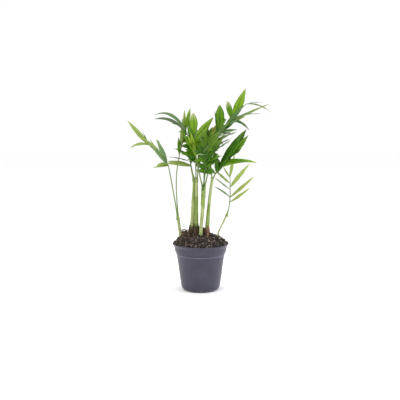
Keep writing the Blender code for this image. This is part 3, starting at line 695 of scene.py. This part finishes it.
def makeStem(name, limb, seed):
    # The radius by place: the cane's taper, a root collar, a ring at each node and a step at the sheath.
    coarse, _ = stemPath(limb)
    path = smoothPath(coarse, cane["each"])
    share = np.linspace(0, 1, len(path))[:, None]
    run = share * limb["length"]
    angle = np.linspace(0, 2 * pi, cane["sides"], endpoint=False)[None]
    radius = spreadOver(limb["radii"], share) * np.ones_like(angle)
    grain = ripple(np.stack(np.broadcast_arrays(angle * 6, run * 0.35), axis=-1), 7, seed)
    radius *= 1 + cane["roughness"] * grain * 0.5
    ridges = 0.5 + 0.5 * np.cos(5 * angle + seed)
    radius *= 1 + cane["flare"] * np.exp(-run / cane["flareLength"]) * (0.45 + 0.55 * ridges)
    slots = np.zeros((len(path) - 1, cane["sides"]), int)
    for k, place in enumerate(limb["nodes"]):
        off = run - place * limb["length"] - 0.5 * np.cos(angle + seed + 2 * k)
        radius *= 1 + cane["swelling"] * np.exp(-(off / cane["swellLength"]) ** 2)
        radius -= cane["dip"] * np.exp(-((off - cane["dipAbove"]) / 0.5) ** 2)
        slots[np.abs(0.5 * (off[:-1] + off[1:]) - cane["scarAbove"]) < cane["scarLength"]] = 1
    # The sheath's mouth runs slantwise round the cane, stands proud below and closes on it above.
    slant = limb["sheath"] * limb["length"] + cane["sheathSlope"] * np.cos(angle + 1.7 * seed)
    past = run - slant
    step = np.where(past > 0, 1, np.exp(-(past / cane["sheathLip"]) ** 2))
    radius += cane["sheathStep"] * step * np.exp(-np.maximum(past, 0) / cane["sheathFade"])
    past = 0.5 * (past[:-1] + past[1:])
    slots[np.abs(past) < cane["edgeLength"]] = 1
    slots[(past > 0.55) & (slots == 0)] = 2
    shape = ringShape(tubeRings(path, radius, cane["sides"]), slots)
    other = {"pale": "waxy", "green": "waxy", "waxy": "green"}[limb["skin"]]
    skins = [caneSkins[limb["skin"]], scarSkin, caneSkins[other]]
    putPiece(titled("cane", name), shape, skins, [nodeOf("stem", name)])


for seed, (name, limb) in enumerate(stems.items()):
    makeStem(name, limb, seed)
print("canes made:", len(stems))


# Dead sheaths round the canes' feet, and a dead cane's stub

husks = {
    "twinLeft": dict(stem="twinLeft", middle=225, arc=130, height=16),
    "twinRight": dict(stem="twinRight", middle=285, arc=130, height=25),
    "rightCentre": dict(stem="rightCentre", middle=250, arc=150, height=27, patch=(0.6, 0.95)),
}
husk = dict(clear=0.8, wall=0.7, flare=0.6, rag=0.2, waves=1.3, teeth=0.13, ragged=23, columns=56, rows=26, depth=2)


def makeHusk(name, part, seed):
    # A cupped arc: the angle runs round the cane, the height rises to a ragged mouth that leans out.
    limb = stems[part["stem"]]
    path, ways = stemPath(limb)
    foot, way = path[0], ways[0]
    share = np.linspace(0, 1, husk["columns"])
    draw = np.random.default_rng(40 + seed)
    tooth = spreadOver(draw.uniform(0, 1, husk["ragged"]), share)
    top = part["height"] * (1 - husk["rag"] * (1 - np.cos(2 * pi * husk["waves"] * share)) - husk["teeth"] * tooth)
    top *= 0.62 + 0.38 * np.sin(pi * share) ** 0.45
    up = np.linspace(0, 1, husk["rows"])[:, None]
    angle = np.radians(part["middle"] + part["arc"] * (share - 0.5))[None]
    height = cane["socket"] - husk["depth"] + (husk["depth"] + top[None]) * up
    crease = 0.16 * np.sin(9 * angle + 3 * up + seed) + 0.1 * np.sin(23 * angle - 5 * up)
    inner = limb["radii"][0] + husk["clear"] + husk["flare"] * up ** 2 * 2.2 + crease * (0.4 + 0.6 * up)
    out = np.stack([np.cos(angle), np.sin(angle), np.zeros_like(angle)], axis=-1)
    out = unit(out - way * (out @ way)[..., None])
    thin = husk["wall"] * (1 - 0.55 * up)

    def sheet(radius):
        level = out * np.broadcast_to(radius, height.shape)[..., None]
        return foot + way * height[..., None] + level

    outer, inner = sheet(inner + thin), sheet(inner)
    # The two skins are joined round their edges as one closed ring carried from side to side.
    ring = np.concatenate([outer, inner[::-1]]).transpose(1, 0, 2)
    shape = ringShape(ring[::-1])
    place = np.broadcast_arrays(share[:, None] * 60, np.arange(ring.shape[1])[None] * 0.8)
    tone = ripple(np.stack(place, -1), 9, seed)
    slots = (0.5 * (tone[:-1] + tone[1:]) > 0.55).astype(int)
    low, high = part.get("patch", (1, 1))
    slots[(share[1:] > low) & (share[1:] < high)] += 1
    shape["slots"][:slots.size] = slots[::-1].ravel()
    putPiece(titled("husk", name), shape, [darkHusk, brownHusk, orangeHusk], [nodeOf("husk", name)])


stub = dict(foot=(8, 6), heading=(180, 180), rise=(86, 86), length=20, radii=(3.4, 3.0, 3.3), sides=26,
            hollow=((0.72, 0.1), (0.6, 1.6), (0.5, 3.2)))


def makeStub():
    # A broken cane: a ridged tube whose mouth is torn, its last rings drawn in and down to a hollow.
    path, _ = stemPath(stub)
    path = smoothPath(path, 5)
    angle = np.linspace(0, 2 * pi, stub["sides"], endpoint=False)[None]
    share = np.linspace(0, 1, len(path))[:, None]
    radius = spreadOver(stub["radii"], share) * (1 + 0.06 * np.sin(7 * angle + 1))
    rings = tubeRings(path, radius, stub["sides"])
    torn = 1.1 * np.sin(3 * angle) + 0.8 * np.sin(7 * angle + 2)
    rings[..., 2] -= np.abs(torn) * np.clip(share - 0.7, 0, 1) / 0.3
    mouth = rings[-1:]
    middle = mouth.mean(1, keepdims=True)
    inward = [middle + (mouth - middle) * size - [0, 0, depth] for size, depth in stub["hollow"]]
    rings = np.concatenate([rings] + inward)
    slots = np.zeros((len(rings) - 1, stub["sides"]), int)
    slots[-3:] = 1
    putPiece("brokenCane", ringShape(rings, slots), [brownHusk, darkHusk], ["stub_centre"])


for seed, (name, part) in enumerate(husks.items()):
    makeHusk(name, part, seed)
makeStub()
print("husks and stub made")


# The fronds: a stalk and rib, and leaflets that leave it in pairs. A row of leaflets holds the side of the rib,
# the share of it, the length and width, the angle away from the rib and the tone; then, where they differ from
# the plain ones, the lift above the frond's plane, the sag, the leaflet's own twist, and whether it is broadest
# near its tip. A filled frond has narrower leaflets between the listed ones. A row of inner leaflets, which
# close the crown, holds the share of the rib, the tip's place, the width, the tone and the twist.

left, right = 1, -1
fronds = dict(
    left=dict(
        stem="left", foot=(215, 1.5), stalk=111, rib=64, radii=(1.7, 1.5, 1.3, 1.0, 0.6), roll=-40,
        heading=(180, 182, 184, 188, 190), rise=(83, 82, 80, 80, 80, 78, 48, 40, 40),
        leaflets=(
            (left, 0.04, 33, 8, 50, "olive", -12, 1.1, 20), (right, 0.2, 54, 10, 25, "dusk", -18, 0.1, 55),
            (right, 0.5, 38, 6, 14, "blue", 22, 0, 40), (right, 0.95, 34, 6, 26, "blue", 28, 0, 50),
            (left, 0.97, 47, 8, 25, "olive", 0, 1.05), (right, 1, 68, 10, 8, "olive", 45, -0.05),
        ),
        inner=(
            (0.05, -106, 0, 311, 10, "sage"), (0.3, -123, -3, 325, 9, "olive"), (0.12, -94, 4, 322, 9, "sage"),
            (0.02, -102, 2, 261, 5, "olive"),
        ),
    ),
    leftBack=dict(
        stem="left", foot=(75, 1.7), stalk=142, rib=46, radii=(1.5, 1.2, 1.1, 1.0, 0.6), roll=0,
        heading=(170, 150, 80, 30, 20, 40), rise=(85, 86, 85, 79, 75, 82),
        leaflets=(
            (left, 0.05, 58, 11, 50, "olive", -8, 0.6), (right, 0.1, 34, 10, 66, "fresh", 30, 0.1),
            (left, 0.4, 62, 11, 44, "olive", -10, 0.5), (right, 0.45, 26, 10, 58, "fresh", -70, 0.5),
            (left, 0.75, 58, 10, 38, "mid", -12), (right, 0.8, 32, 8, 80, "fresh", 36, 1.2),
            (left, 1, 45, 7, 8, "olive", 20, 0, 30), (right, 1, 50, 11, 14, "fresh", 0, 0, 20),
        ),
        inner=(
            (-0.2, -47, 16, 326, 7, "mid"), (0.1, -37, 14, 362, 8, "olive"), (0.3, -30, 22, 349, 8, "mid"),
            (0.4, -33, 26, 334, 6, "fresh"),
        ),
    ),
    lowLeft=dict(
        stem="twinLeft", foot=(200, 1.0), stalk=24, rib=42, radii=(2.2, 1.6, 1.2, 0.6), roll=0,
        heading=(150, 150, 120, 110), rise=(72, 78, 80, 82),
        leaflets=(
            (left, 0.06, 58, 10, 64, "olive", -26, 0.5), (right, 0.2, 50, 11, 50, "fresh", -8, 0.4),
            (left, 0.3, 54, 5, 68, "blue", -8, 0.3, 50), (left, 0.5, 46, 7, 38, "mid", 0, 0.9, 45),
            (right, 0.55, 26, 10, 36, "fresh", -30), (left, 1, 28, 8, 24, "olive", 30, 0),
            (right, 1, 22, 8, 14, "fresh", 20, 0),
        ),
        inner=(
            (0.1, -71, 0, 275, 7, "sage"),
        ),
    ),
    arch=dict(
        stem="twinRight", foot=(180, 1.5), stalk=40, rib=68, radii=(1.2, 1.4, 1.2, 0.6), roll=-20, filled=True,
        heading=(90, 120, 160, 175), rise=(88, 86, 78, 40),
        leaflets=(
            (left, 0.15, 34, 11, 66, "mid", 0, 0.5), (right, 0.24, 32, 10, 46, "mid", 4, 0.5),
            (left, 0.4, 30, 10, 64, "deep", -24, 0.5), (right, 0.5, 62, 11, 47, "blue", -18, 0.4),
            (right, 0.8, 48, 10, 44, "mid", 8), (left, 1, 88, 7, 24, "blue", 66, 1.15, 40),
            (right, 1, 86, 8, 14, "dusk", -20, 0.9, 60),
        ),
        inner=(
            (-0.05, -54, -8, 302, 5, "deep", 20), (0.1, -27, 2, 314, 8, "mid"), (0.2, 3, 8, 322, 11, "deep"),
            (-0.2, 11, 4, 299, 10, "mid"), (-0.3, 24, -14, 248, 8, "mid"),
        ),
    ),
    centre=dict(
        stem="centre", foot=(165, 2.5), stalk=76, rib=36, radii=(1.5, 1.4, 1.2, 0.6), roll=0, filled=True,
        heading=(180, 170, 130, 90), rise=(76, 78, 80, 76),
        leaflets=(
            (right, 0.02, 36, 10, 68, "mid", 95), (left, 0.05, 34, 10, 58, "fresh", 30),
            (right, 0.1, 62, 12, 48, "fresh", 48, 0), (left, 0.4, 36, 10, 55, "mid", 24),
            (right, 0.7, 62, 15, 44, "fresh", 20, 0), (left, 1, 47, 17, 2, "freshFaded", 0, 0, 0, True),
        ),
        inner=(
            (-0.4, -21, -36, 337, 8, "bright"), (-0.35, -28, -38, 333, 6, "bright"),
            (-0.3, -35, -34, 330, 6, "fresh"), (0.3, 5, -10, 337, 11, "fresh"),
            (0.5, -3, -18, 327, 10, "fresh"), (-0.3, -28, -20, 279, 7, "deep"),
            (0.2, -18, -36, 315, 6, "fresh"),
        ),
    ),
    top=dict(
        stem="centre", foot=(75, 2.5), stalk=91, rib=114, radii=(1.5, 1.6, 1.5, 1.3, 0.7), roll=50,
        heading=(0, 0, 0, -8, -10, -15, -15), rise=(89, 89, 86, 42, 46, 50, 42),
        leaflets=(
            (right, 0.1, 28, 11, 80, "mid", 40), (left, 0.3, 58, 19, 47, "mid", 30, 0, 0, True),
            (right, 0.3, 54, 12, 62, "dusk", 26, 0.3, -40),
            (left, 0.62, 40, 12, 56, "midFaded", 36, 0, 14, True), (left, 0.64, 67, 18, 18, "fresh", 36, 0),
            (right, 0.5, 42, 12, 47, "blue", 30, 0.2), (right, 0.55, 54, 7, 31, "blue", 0, 1.5, 70),
            (right, 0.58, 90, 7, 26, "olive", -28, 0, 60), (right, 0.62, 73, 6, 31, "sage", 0, 0.5, 96),
            (right, 1, 60, 6, 38, "olive", -28, 0.9, 70), (left, 1, 36, 4, 24, "sage", -120, 0.5, 60),
        ),
        inner=(
            (0.4, 5, -46, 295, 7, "blue"), (-0.1, 52, -30, 345, 6, "blue"), (-0.3, 29, -20, 325, 12, "deep"),
            (-0.2, 21, -24, 300, 10, "deep"), (0.35, 75, -14, 363, 10, "deep"),
            (0.3, 78, -10, 341, 5, "blue", 40), (0.45, 93, -26, 369, 6, "olive", 30),
            (-0.4, 32, -16, 285, 9, "mid"), (0, 62, -24, 359, 9, "blue"), (0.4, 90, -30, 392, 9, "blue"),
            (0.1, 54, -16, 364, 9, "mid"), (0.25, 29, -16, 382, 6, "deep", 60), (0.5, 81, -24, 363, 7, "blue"),
        ),
    ),
    right=dict(
        stem="rightCentre", foot=(0, 1.5), stalk=20, rib=52, radii=(1.3, 1.4, 1.2, 0.6), roll=40,
        heading=(0, 0, 0, -10), rise=(62, 58, 38, 36),
        leaflets=(
            (left, 0.05, 34, 12, 56, "mid", 0, 0.1), (right, 0.1, 86, 10, 30, "fresh", -15, 0.8),
            (left, 0.2, 95, 19, 3, "deep", 46, 0, -25), (right, 0.5, 60, 9, 48, "mid", 10),
            (left, 0.7, 61, 14, 13, "mid", 60, 0), (right, 1, 14, 8, 32, "mid", 25, 0),
            (left, 1, 16, 8, 13, "olive", -38, 0),
        ),
        inner=(
            (-0.2, 53, -12, 279, 9, "deep"), (0.1, 59, -14, 283, 8, "deep"), (0.05, 94, -14, 342, 15, "deep"),
            (0.25, 95, -16, 327, 9, "mid"), (-0.2, 13, -10, 266, 7, "mid"), (-0.1, 32, -12, 279, 8, "deep"),
        ),
    ),
    front=dict(
        stem="centre", foot=(-105, 2.5), stalk=58, rib=50, radii=(1.5, 1.4, 1.2, 0.6), roll=0, filled=True,
        heading=(0, -60, -80, -85), rise=(84, 80, 70, 58),
        leaflets=(
            (left, 0.05, 66, 15, 26, "deep", -8), (right, 0.1, 40, 12, 52, "dark", -10),
            (left, 0.38, 44, 12, 40, "mid", -18, 0.2), (right, 0.45, 46, 12, 30, "deep", -30, 0.2),
            (left, 0.72, 44, 10, 34, "mid", -30, 0.1), (right, 0.78, 44, 11, 24, "mid", -42, 0.2),
            (left, 1, 34, 8, 16, "deep", -44, 0.1), (right, 1, 36, 8, 12, "dark", -60, 0.1),
        ),
        inner=(
            (0.32, 11, -34, 338, 9, "deep", 20), (0.12, 33, -40, 313, 11, "deep"),
            (0.4, 0, -30, 323, 9, "deep", 10), (0.5, 32, -44, 354, 9, "bronze"), (0, -14, -30, 278, 9, "mid"),
            (-0.1, 44, -34, 289, 8, "mid"), (-0.22, 38, -28, 278, 9, "deep"), (-0.28, -8, -26, 265, 9, "deep"),
            (-0.4, 26, -22, 249, 7, "deep"), (-0.4, -3, -20, 258, 8, "mid"),
            (0.2, -1, -42, 301, 7, "deep", 20), (0.45, 23, -36, 339, 9, "deep", 10),
            (0.25, -9, -48, 291, 6, "sage"), (-0.2, -3, -30, 290, 9, "mid"), (-0.15, 27, -36, 296, 9, "deep"),
            (-0.3, 23, -28, 273, 8, "mid"),
        ),
    ),
    backRight=dict(
        stem="centre", foot=(-15, 2.5), stalk=70, rib=72, radii=(1.5, 1.4, 1.2, 0.6), roll=0, filled=True,
        heading=(10, 50, 70, 75), rise=(78, 72, 58, 40),
        leaflets=(
            (left, 0.05, 34, 11, 44, "deep", -16, 0.5), (right, 0.1, 48, 10, 54, "sage", 10, 0.2, -32),
            (left, 0.35, 46, 13, 42, "deep", -24, 0.5), (right, 0.4, 58, 12, 50, "sage", 10, 0.5, -28),
            (left, 0.7, 48, 12, 31, "mid", -26, 0.5), (right, 0.76, 50, 11, 32, "mid", -16),
            (left, 1, 48, 10, 18, "deep", -30), (right, 1, 46, 10, 12, "dusk", -38),
        ),
        inner=(
            (-0.35, -5, -10, 285, 9, "fresh"), (-0.2, 9, -2, 295, 10, "deep"),
        ),
    ),
    backLeft=dict(
        stem="twinRight", foot=(0, 1.5), stalk=56, rib=72, radii=(1.2, 1.3, 1.1, 0.6), roll=0, filled=True,
        heading=(60, 90, 95, 95), rise=(86, 72, 44, 20),
        leaflets=(
            (left, 0.05, 34, 12, 54, "mid", -48, 0.5), (right, 0.1, 32, 11, 58, "deep", -46, 0.5),
            (left, 0.35, 48, 13, 44, "mid", -42, 0.5), (right, 0.42, 32, 11, 46, "mid", -42, 0.5),
            (left, 0.7, 48, 12, 32, "deep", -44, 0.5), (right, 0.76, 46, 12, 32, "mid", -38, 0.5),
            (left, 1, 46, 10, 18, "mid", -52, 0.4), (right, 1, 44, 10, 19, "deep", -48, 0.4),
        ),
        inner=(
            (-0.3, -22, 6, 282, 9, "deep"),
        ),
    ),
    back=dict(
        stem="rightCentre", foot=(180, 1.5), stalk=44, rib=76, radii=(1.2, 1.2, 1.1, 0.6), roll=0, filled=True,
        heading=(120, 95, 90, 85), rise=(84, 64, 34, 10),
        leaflets=(
            (left, 0.04, 30, 11, 52, "deep", -24, 0.5), (right, 0.1, 28, 11, 58, "mid", -30, 0.5),
            (left, 0.35, 32, 12, 44, "mid", -26, 0.5), (right, 0.45, 40, 12, 50, "deep", -10, 0.4),
            (left, 0.66, 32, 11, 32, "mid", -10, 0.4), (right, 0.8, 44, 12, 36, "deep", 0, 0.4),
            (left, 1, 46, 10, 14, "mid"), (right, 1, 44, 10, 20, "mid", 8),
        ),
        inner=(
            (-0.35, -10, -8, 272, 8, "mid"), (-0.4, -3, -12, 256, 7, "deep"), (-0.3, 5, 4, 278, 9, "deep"),
            (-0.2, 35, 2, 293, 9, "mid"),
        ),
    ),
    rightFront=dict(
        stem="right", foot=(0, 0), stalk=24, rib=54, radii=(1.5, 1.1, 0.9, 0.6), roll=0,
        heading=(0, 60, 95, 100), rise=(72, 80, 86, 86),
        leaflets=(
            (right, 0.02, 58, 8, 54, "lime", 0, 0, -24), (right, 0.22, 70, 9, 48, "lime", 0, 0, -30),
            (left, 0.22, 44, 5, 50, "sage", 0, 0.4, 50), (left, 0.52, 44, 5, 52, "sage", 0, 0, 50),
            (right, 0.6, 66, 11, 40, "lime", 0, 0, 29), (left, 0.76, 46, 8, 48, "olive", 0, 0, 48),
            (left, 1.0, 32, 6, 32, "olive", 0, 0, 44), (right, 1.0, 52, 9, 12, "lime", 0, 0, 30),
        ),
    ),
)
blade = dict(
    root=1.1, foldShare=0.22, thickness=0.34, rows=26,
    across=(1, 0.93, 0.74, 0.5, 0.24, 0.05, -0.05, -0.24, -0.5, -0.74, -0.93, -1),  # shares of the half width
    twist=11, wave=0.05, camber=0.1, seed=17, dryShare=0.34, dryFrom=(0.9, 0.965),
    pointed=(0.78, 0.85), blunt=(1.15, 0.62),  # powers of the share and of the sine that give the outline
    face=(-0.1, -0.85, 0.5), bow=0.1,  # for the inner leaflets: the way they face, and their arch
)
stalkForm = dict(split=30, stepLength=10, each=7, sides=18, inside=6, flare=1.1, flareLength=7, gap=0.3)


def frondPath(part):
    # The source's rule: the frond starts beside its cane's tip, and its heading and rise change evenly.
    canePoints, caneWays = stemPath(stems[part["stem"]])
    tip, up = canePoints[-1], caneWays[-1]
    side = sideOf(up)
    over = np.cross(side, up)
    around, away = part["foot"]
    turn = radians(around) - np.arctan2(-over[1], -over[0])
    out = -over * cos(turn) - side * sin(turn)
    total = part["stalk"] + part["rib"]
    ways = directions(part["heading"], part["rise"], max(8, round(total / stalkForm["stepLength"])))
    lean = np.linalg.norm(np.cross(up, ways[0]))
    start = tip + out * away + up * (stalkForm["gap"] + part["radii"][0] * lean)
    return walk(start, ways, total), ways


def onRib(part, points, ways, at):
    # The point at a share of the rib, and the way the rib runs there; a share under 0 is on the stalk.
    along = (part["stalk"] + part["rib"] * at) / (part["stalk"] + part["rib"])
    place = min(along, 0.995) * len(ways)
    low = int(place)
    return points[low] + (points[low + 1] - points[low]) * (place - low), ways[low]


def rowShares():
    # Even steps from 0 to 1, drawn toward both ends.
    even = np.linspace(0, 1, blade["rows"] + 1)
    return (1 - np.cos(pi * even)) / 2 * 0.35 + even * 0.65


def leaf(side, at, length, width, spread, tone, lift=0, sag=0.3, turn=0, blunt=False):
    # A row of the table with its plain values filled in.
    return dict(side=side, at=at, length=length, width=width, spread=spread, tone=tone, lift=lift, sag=sag,
                turn=turn, blunt=blunt)


def listedLeaflet(part, points, ways, one, draw):
    # The source's rule: the middle line leaves the rib at its spread and lift, and sags evenly to its tip.
    start, along = onRib(part, points, ways, one["at"])
    level = sideOf(along)
    upper = np.cross(along, level)
    roll = radians(part["roll"])
    level, upper = cos(roll) * level + sin(roll) * upper, cos(roll) * upper - sin(roll) * level
    spread, lift, side = radians(one["spread"]), radians(one["lift"]), one["side"]
    outward = side * level * cos(lift) + upper * sin(lift)
    way = cos(spread) * along + sin(spread) * outward
    across = side * (cos(spread) * outward - sin(spread) * along)
    share = rowShares()
    fine = (share[1:] + share[:-1]) / 2
    bent = unit(way + down * (one["sag"] * fine)[:, None]) * (one["length"] * np.diff(share))[:, None]
    middle = np.vstack([start, start + np.cumsum(bent, axis=0)])[:-1]
    here = unit(way + down * (one["sag"] * share[:-1])[:, None])
    return leafletShape(middle, here, across, one["width"], one["length"], one["tone"], one["turn"], draw,
                        one["blunt"])


def innerLeaflet(part, points, ways, draw, at, x, y, z, width, tone, turn=0):
    # The middle line is a parabola from the rib to the tip, bowed upward; the blade faces one way.
    start, _ = onRib(part, points, ways, at)
    tip = np.array([x, y, z], float)
    length = np.linalg.norm(tip - start)
    bow = (start + tip) / 2 - down * blade["bow"] * length
    share = rowShares()[:-1, None]
    middle = (1 - share) ** 2 * start + 2 * share * (1 - share) * bow + share ** 2 * tip
    here = unit((1 - share) * (bow - start) + share * (tip - bow))
    across = np.cross(blade["face"], here[len(here) // 2])
    return leafletShape(middle, here, across, width, length, tone, turn, draw)


def leafletShape(middle, here, across, width, length, tone, turn, draw, isBlunt=False):
    # A folded blade on a grid: the row runs from root to tip, and the column round both skins. Its half width is
    # a sine drawn toward the root; its edges hang under the midrib; the under skin lies one thickness below the
    # upper one; the blade turns about its middle line by its own twist.
    share = rowShares()[:-1]
    across = unit(across - here * (here @ across)[:, None])
    normal = np.cross(here, across)
    turn = np.radians(turn + draw.uniform(-1, 1) * blade["twist"] * share ** 1.5)[:, None]
    across, normal = across * np.cos(turn) + normal * np.sin(turn), normal * np.cos(turn) - across * np.sin(turn)
    bend, fullness = blade["blunt" if isBlunt else "pointed"]
    half = np.maximum(0.5 * width * np.sin(pi * share ** bend) ** fullness, blade["root"] * (1 - share) ** 0.5)
    half = (half * (1 - 0.35 * share ** 9))[:, None]
    u = np.array(blade["across"])
    u = np.concatenate([u, u[-2:0:-1]])[None]
    under = (np.arange(u.size) >= len(blade["across"]))[None]
    fold = blade["foldShare"] * draw.uniform(0.75, 1.25) * (1 + 1.5 * np.exp(-share / 0.05))[:, None]
    cup = blade["camber"] * draw.uniform(0.3, 1.5) * np.sin(pi * np.abs(u)) * half
    swing = np.sin(2 * pi * share[:, None] * draw.uniform(2.2, 4.2) + draw.uniform(0, 6) + 1.2 * u)
    wave = blade["wave"] * width * swing * np.abs(u) ** 2 * np.sin(pi * share[:, None]) ** 0.5
    thick = blade["thickness"] * (1 - 0.5 * share[:, None]) * (1 - 0.75 * np.abs(u) ** 4)
    rib = 0.22 * np.exp(-(u / 0.1) ** 2) * (1 - share[:, None])
    height = -fold * half * np.abs(u) + cup + wave + np.where(under, -thick - rib, rib * 0.5)
    rings = middle[:, None] + across[:, None] * (half * u)[..., None] + normal[:, None] * height[..., None]
    rings, under, u = rings[:, ::-1], under[0, ::-1], u[:, ::-1]
    midrib = np.abs(0.5 * (u[0] + np.roll(u[0], -1))) <= 0.06
    below = under | np.roll(under, -1) | midrib
    slots = np.tile(below.astype(int), (len(share) - 1, 1))
    if draw.uniform() < blade["dryShare"]:
        slots[share[:-1] > draw.uniform(*blade["dryFrom"])] = 2
    share = share[:, None]
    surface = np.stack(np.broadcast_arrays(u * width / 2, share * length, u, share), axis=-1)
    shape = ringShape(rings, slots, surface)
    shape["names"] = np.array([tone, tone.replace("Faded", "") + "Under", "tip"])[shape["slots"]]
    return shape


def between(listed, draw):
    # A narrower leaflet midway between each two of one side, at the mean of their angles.
    more = []
    for side in (left, right):
        row = [one for one in listed if one["side"] == side]
        for a, b in zip(row, row[1:]):
            means = {key: (a[key] + b[key]) / 2 for key in ("at", "length", "width", "spread", "lift", "sag")}
            one = {**a, **means, "blunt": False}
            one.update(length=one["length"] * draw.uniform(0.75, 0.95), width=one["width"] * 0.8,
                       lift=one["lift"] + draw.uniform(-18, 18))
            more.append(one)
    return more


def makeFrond(name, part, seed):
    # The stalk's radius is its taper, flared at the foot and grooved above; the leaflets are one mesh.
    draw = np.random.default_rng(blade["seed"] + seed)
    points, ways = frondPath(part)
    path = smoothPath(points, stalkForm["each"])
    foot = path[0] - ways[0] * stalkForm["inside"]
    path = np.vstack([foot + (path[0] - foot) * np.linspace(0, 0.9, 6)[:, None], path])
    run = np.concatenate([[0], np.cumsum(np.linalg.norm(np.diff(path, axis=0), axis=1))])
    share = np.clip((run - stalkForm["inside"]) / (run[-1] - stalkForm["inside"]), 0, 1)
    flare = 1 + stalkForm["flare"] * np.exp(-((run / stalkForm["flareLength"]) ** 2))
    radius = spreadOver(part["radii"], share) * flare
    angle = np.linspace(0, 2 * pi, stalkForm["sides"], endpoint=False)[None]
    groove = 1 - 0.14 * np.exp(-((angle - pi / 2) / 0.5) ** 2)
    isRib = share > part["stalk"] / (part["stalk"] + part["rib"])
    slots = np.repeat(isRib[:-1, None].astype(int), stalkForm["sides"], axis=1)
    stalk = ringShape(tubeRings(path, radius[:, None] * groove, stalkForm["sides"]), slots)
    skins = [shadedSkin, shadedSkin] if name == "front" else [stalkSkin, ribSkin]
    # A short stalk is one with its frond in the source, and a long one has a node of its own.
    stalkNode = nodeOf("stalk" if part["stalk"] >= stalkForm["split"] else "frond", name)
    putPiece(titled("stalk", name), stalk, skins, [stalkNode])
    listed = [leaf(*row) for row in part["leaflets"]]
    shapes = [listedLeaflet(part, points, ways, one, draw) for one in listed]
    if "filled" in part:
        shapes += [listedLeaflet(part, points, ways, one, draw) for one in between(listed, draw)]
    shapes += [innerLeaflet(part, points, ways, draw, *row) for row in part.get("inner", ())]
    shape = joinShapes(shapes)
    quadNames = [s["names"][:len(s["quads"])] for s in shapes]
    triNames = [s["names"][len(s["quads"]):] for s in shapes]
    used, shape["slots"] = np.unique(np.concatenate(quadNames + triNames), return_inverse=True)
    skins = [leafSkins[str(tone)] for tone in used]
    putPiece(titled("leaflets", name), shape, skins, [nodeOf("frond", name)])
    return len(shape["quads"]) * 2 + len(shape["tris"])


triangles = sum(makeFrond(name, part, seed) for seed, (name, part) in enumerate(fronds.items()))
print("fronds made:", len(fronds), "with", triangles, "triangles of leaflet")


# The stage: a white sweep, soft studio light and the photograph's camera

stage = dict(
    camera=(-1.3, -1300, 356), target=(-1.3, 0, 193), lens=55.5,
    world=1.02, floor=6000,
    lamps=(  # place, size, watts, colour
        ((-700, -900, 1100), 500, 7, "#fff9f0"),
        ((950, -500, 700), 700, 6, "#f4f8ff"),
        ((0, 300, 1500), 700, 6, "#ffffff"),
    ),
)


def makeStage():
    # A level sheet, an even white world, three round lamps and the camera, all turned to one target.
    size = stage["floor"] * mm
    mesh = bpy.data.meshes.new("sweep")
    mesh.from_pydata([(-size, -size, 0), (size, -size, 0), (size, size, 0), (-size, size, 0)], [], [(0, 1, 2, 3)])
    material, _, _ = newMaterial("whitePaper", "#fbfbfb", 1.0)
    mesh.materials.append(material)
    sweep = addObject("sweep", mesh)
    world = bpy.data.worlds.new("studio")
    world.use_nodes = True
    sky = world.node_tree.nodes["Background"].inputs
    sky["Color"].default_value = colour("#ffffff")
    sky["Strength"].default_value = stage["world"]
    bpy.context.scene.world = world
    target = np.array(stage["target"])
    for k, (place, width, watts, tint) in enumerate(stage["lamps"]):
        light = bpy.data.lights.new("softbox%d" % k, "AREA")
        light.shape = "DISK"
        light.size = width * mm
        light.energy = watts
        light.color = colour(tint)[:3]
        addObject(light.name, light).matrix_world = lookFrom(np.array(place, float), target)
    view = bpy.data.cameras.new("photoView")
    view.lens = stage["lens"]
    view.sensor_width = 36
    view.clip_end = 100
    camera = addObject("photoView", view)
    camera.matrix_world = lookFrom(np.array(stage["camera"], float), target)
    bpy.context.scene.camera = camera
    bpy.context.scene.view_settings.view_transform = "Standard"


def lookFrom(place, target):
    # A matrix that stands at place and looks along its own -Z at the target, level.
    back = unit(place - target)
    side = unit(np.cross([0, 0, 1.0], back))
    up = np.cross(back, side)
    matrix = np.eye(4)
    matrix[:3, :3] = np.stack([side, up, back], axis=1)
    matrix[:3, 3] = place * mm
    return Matrix(matrix.tolist())


makeStage()
print("stage set")
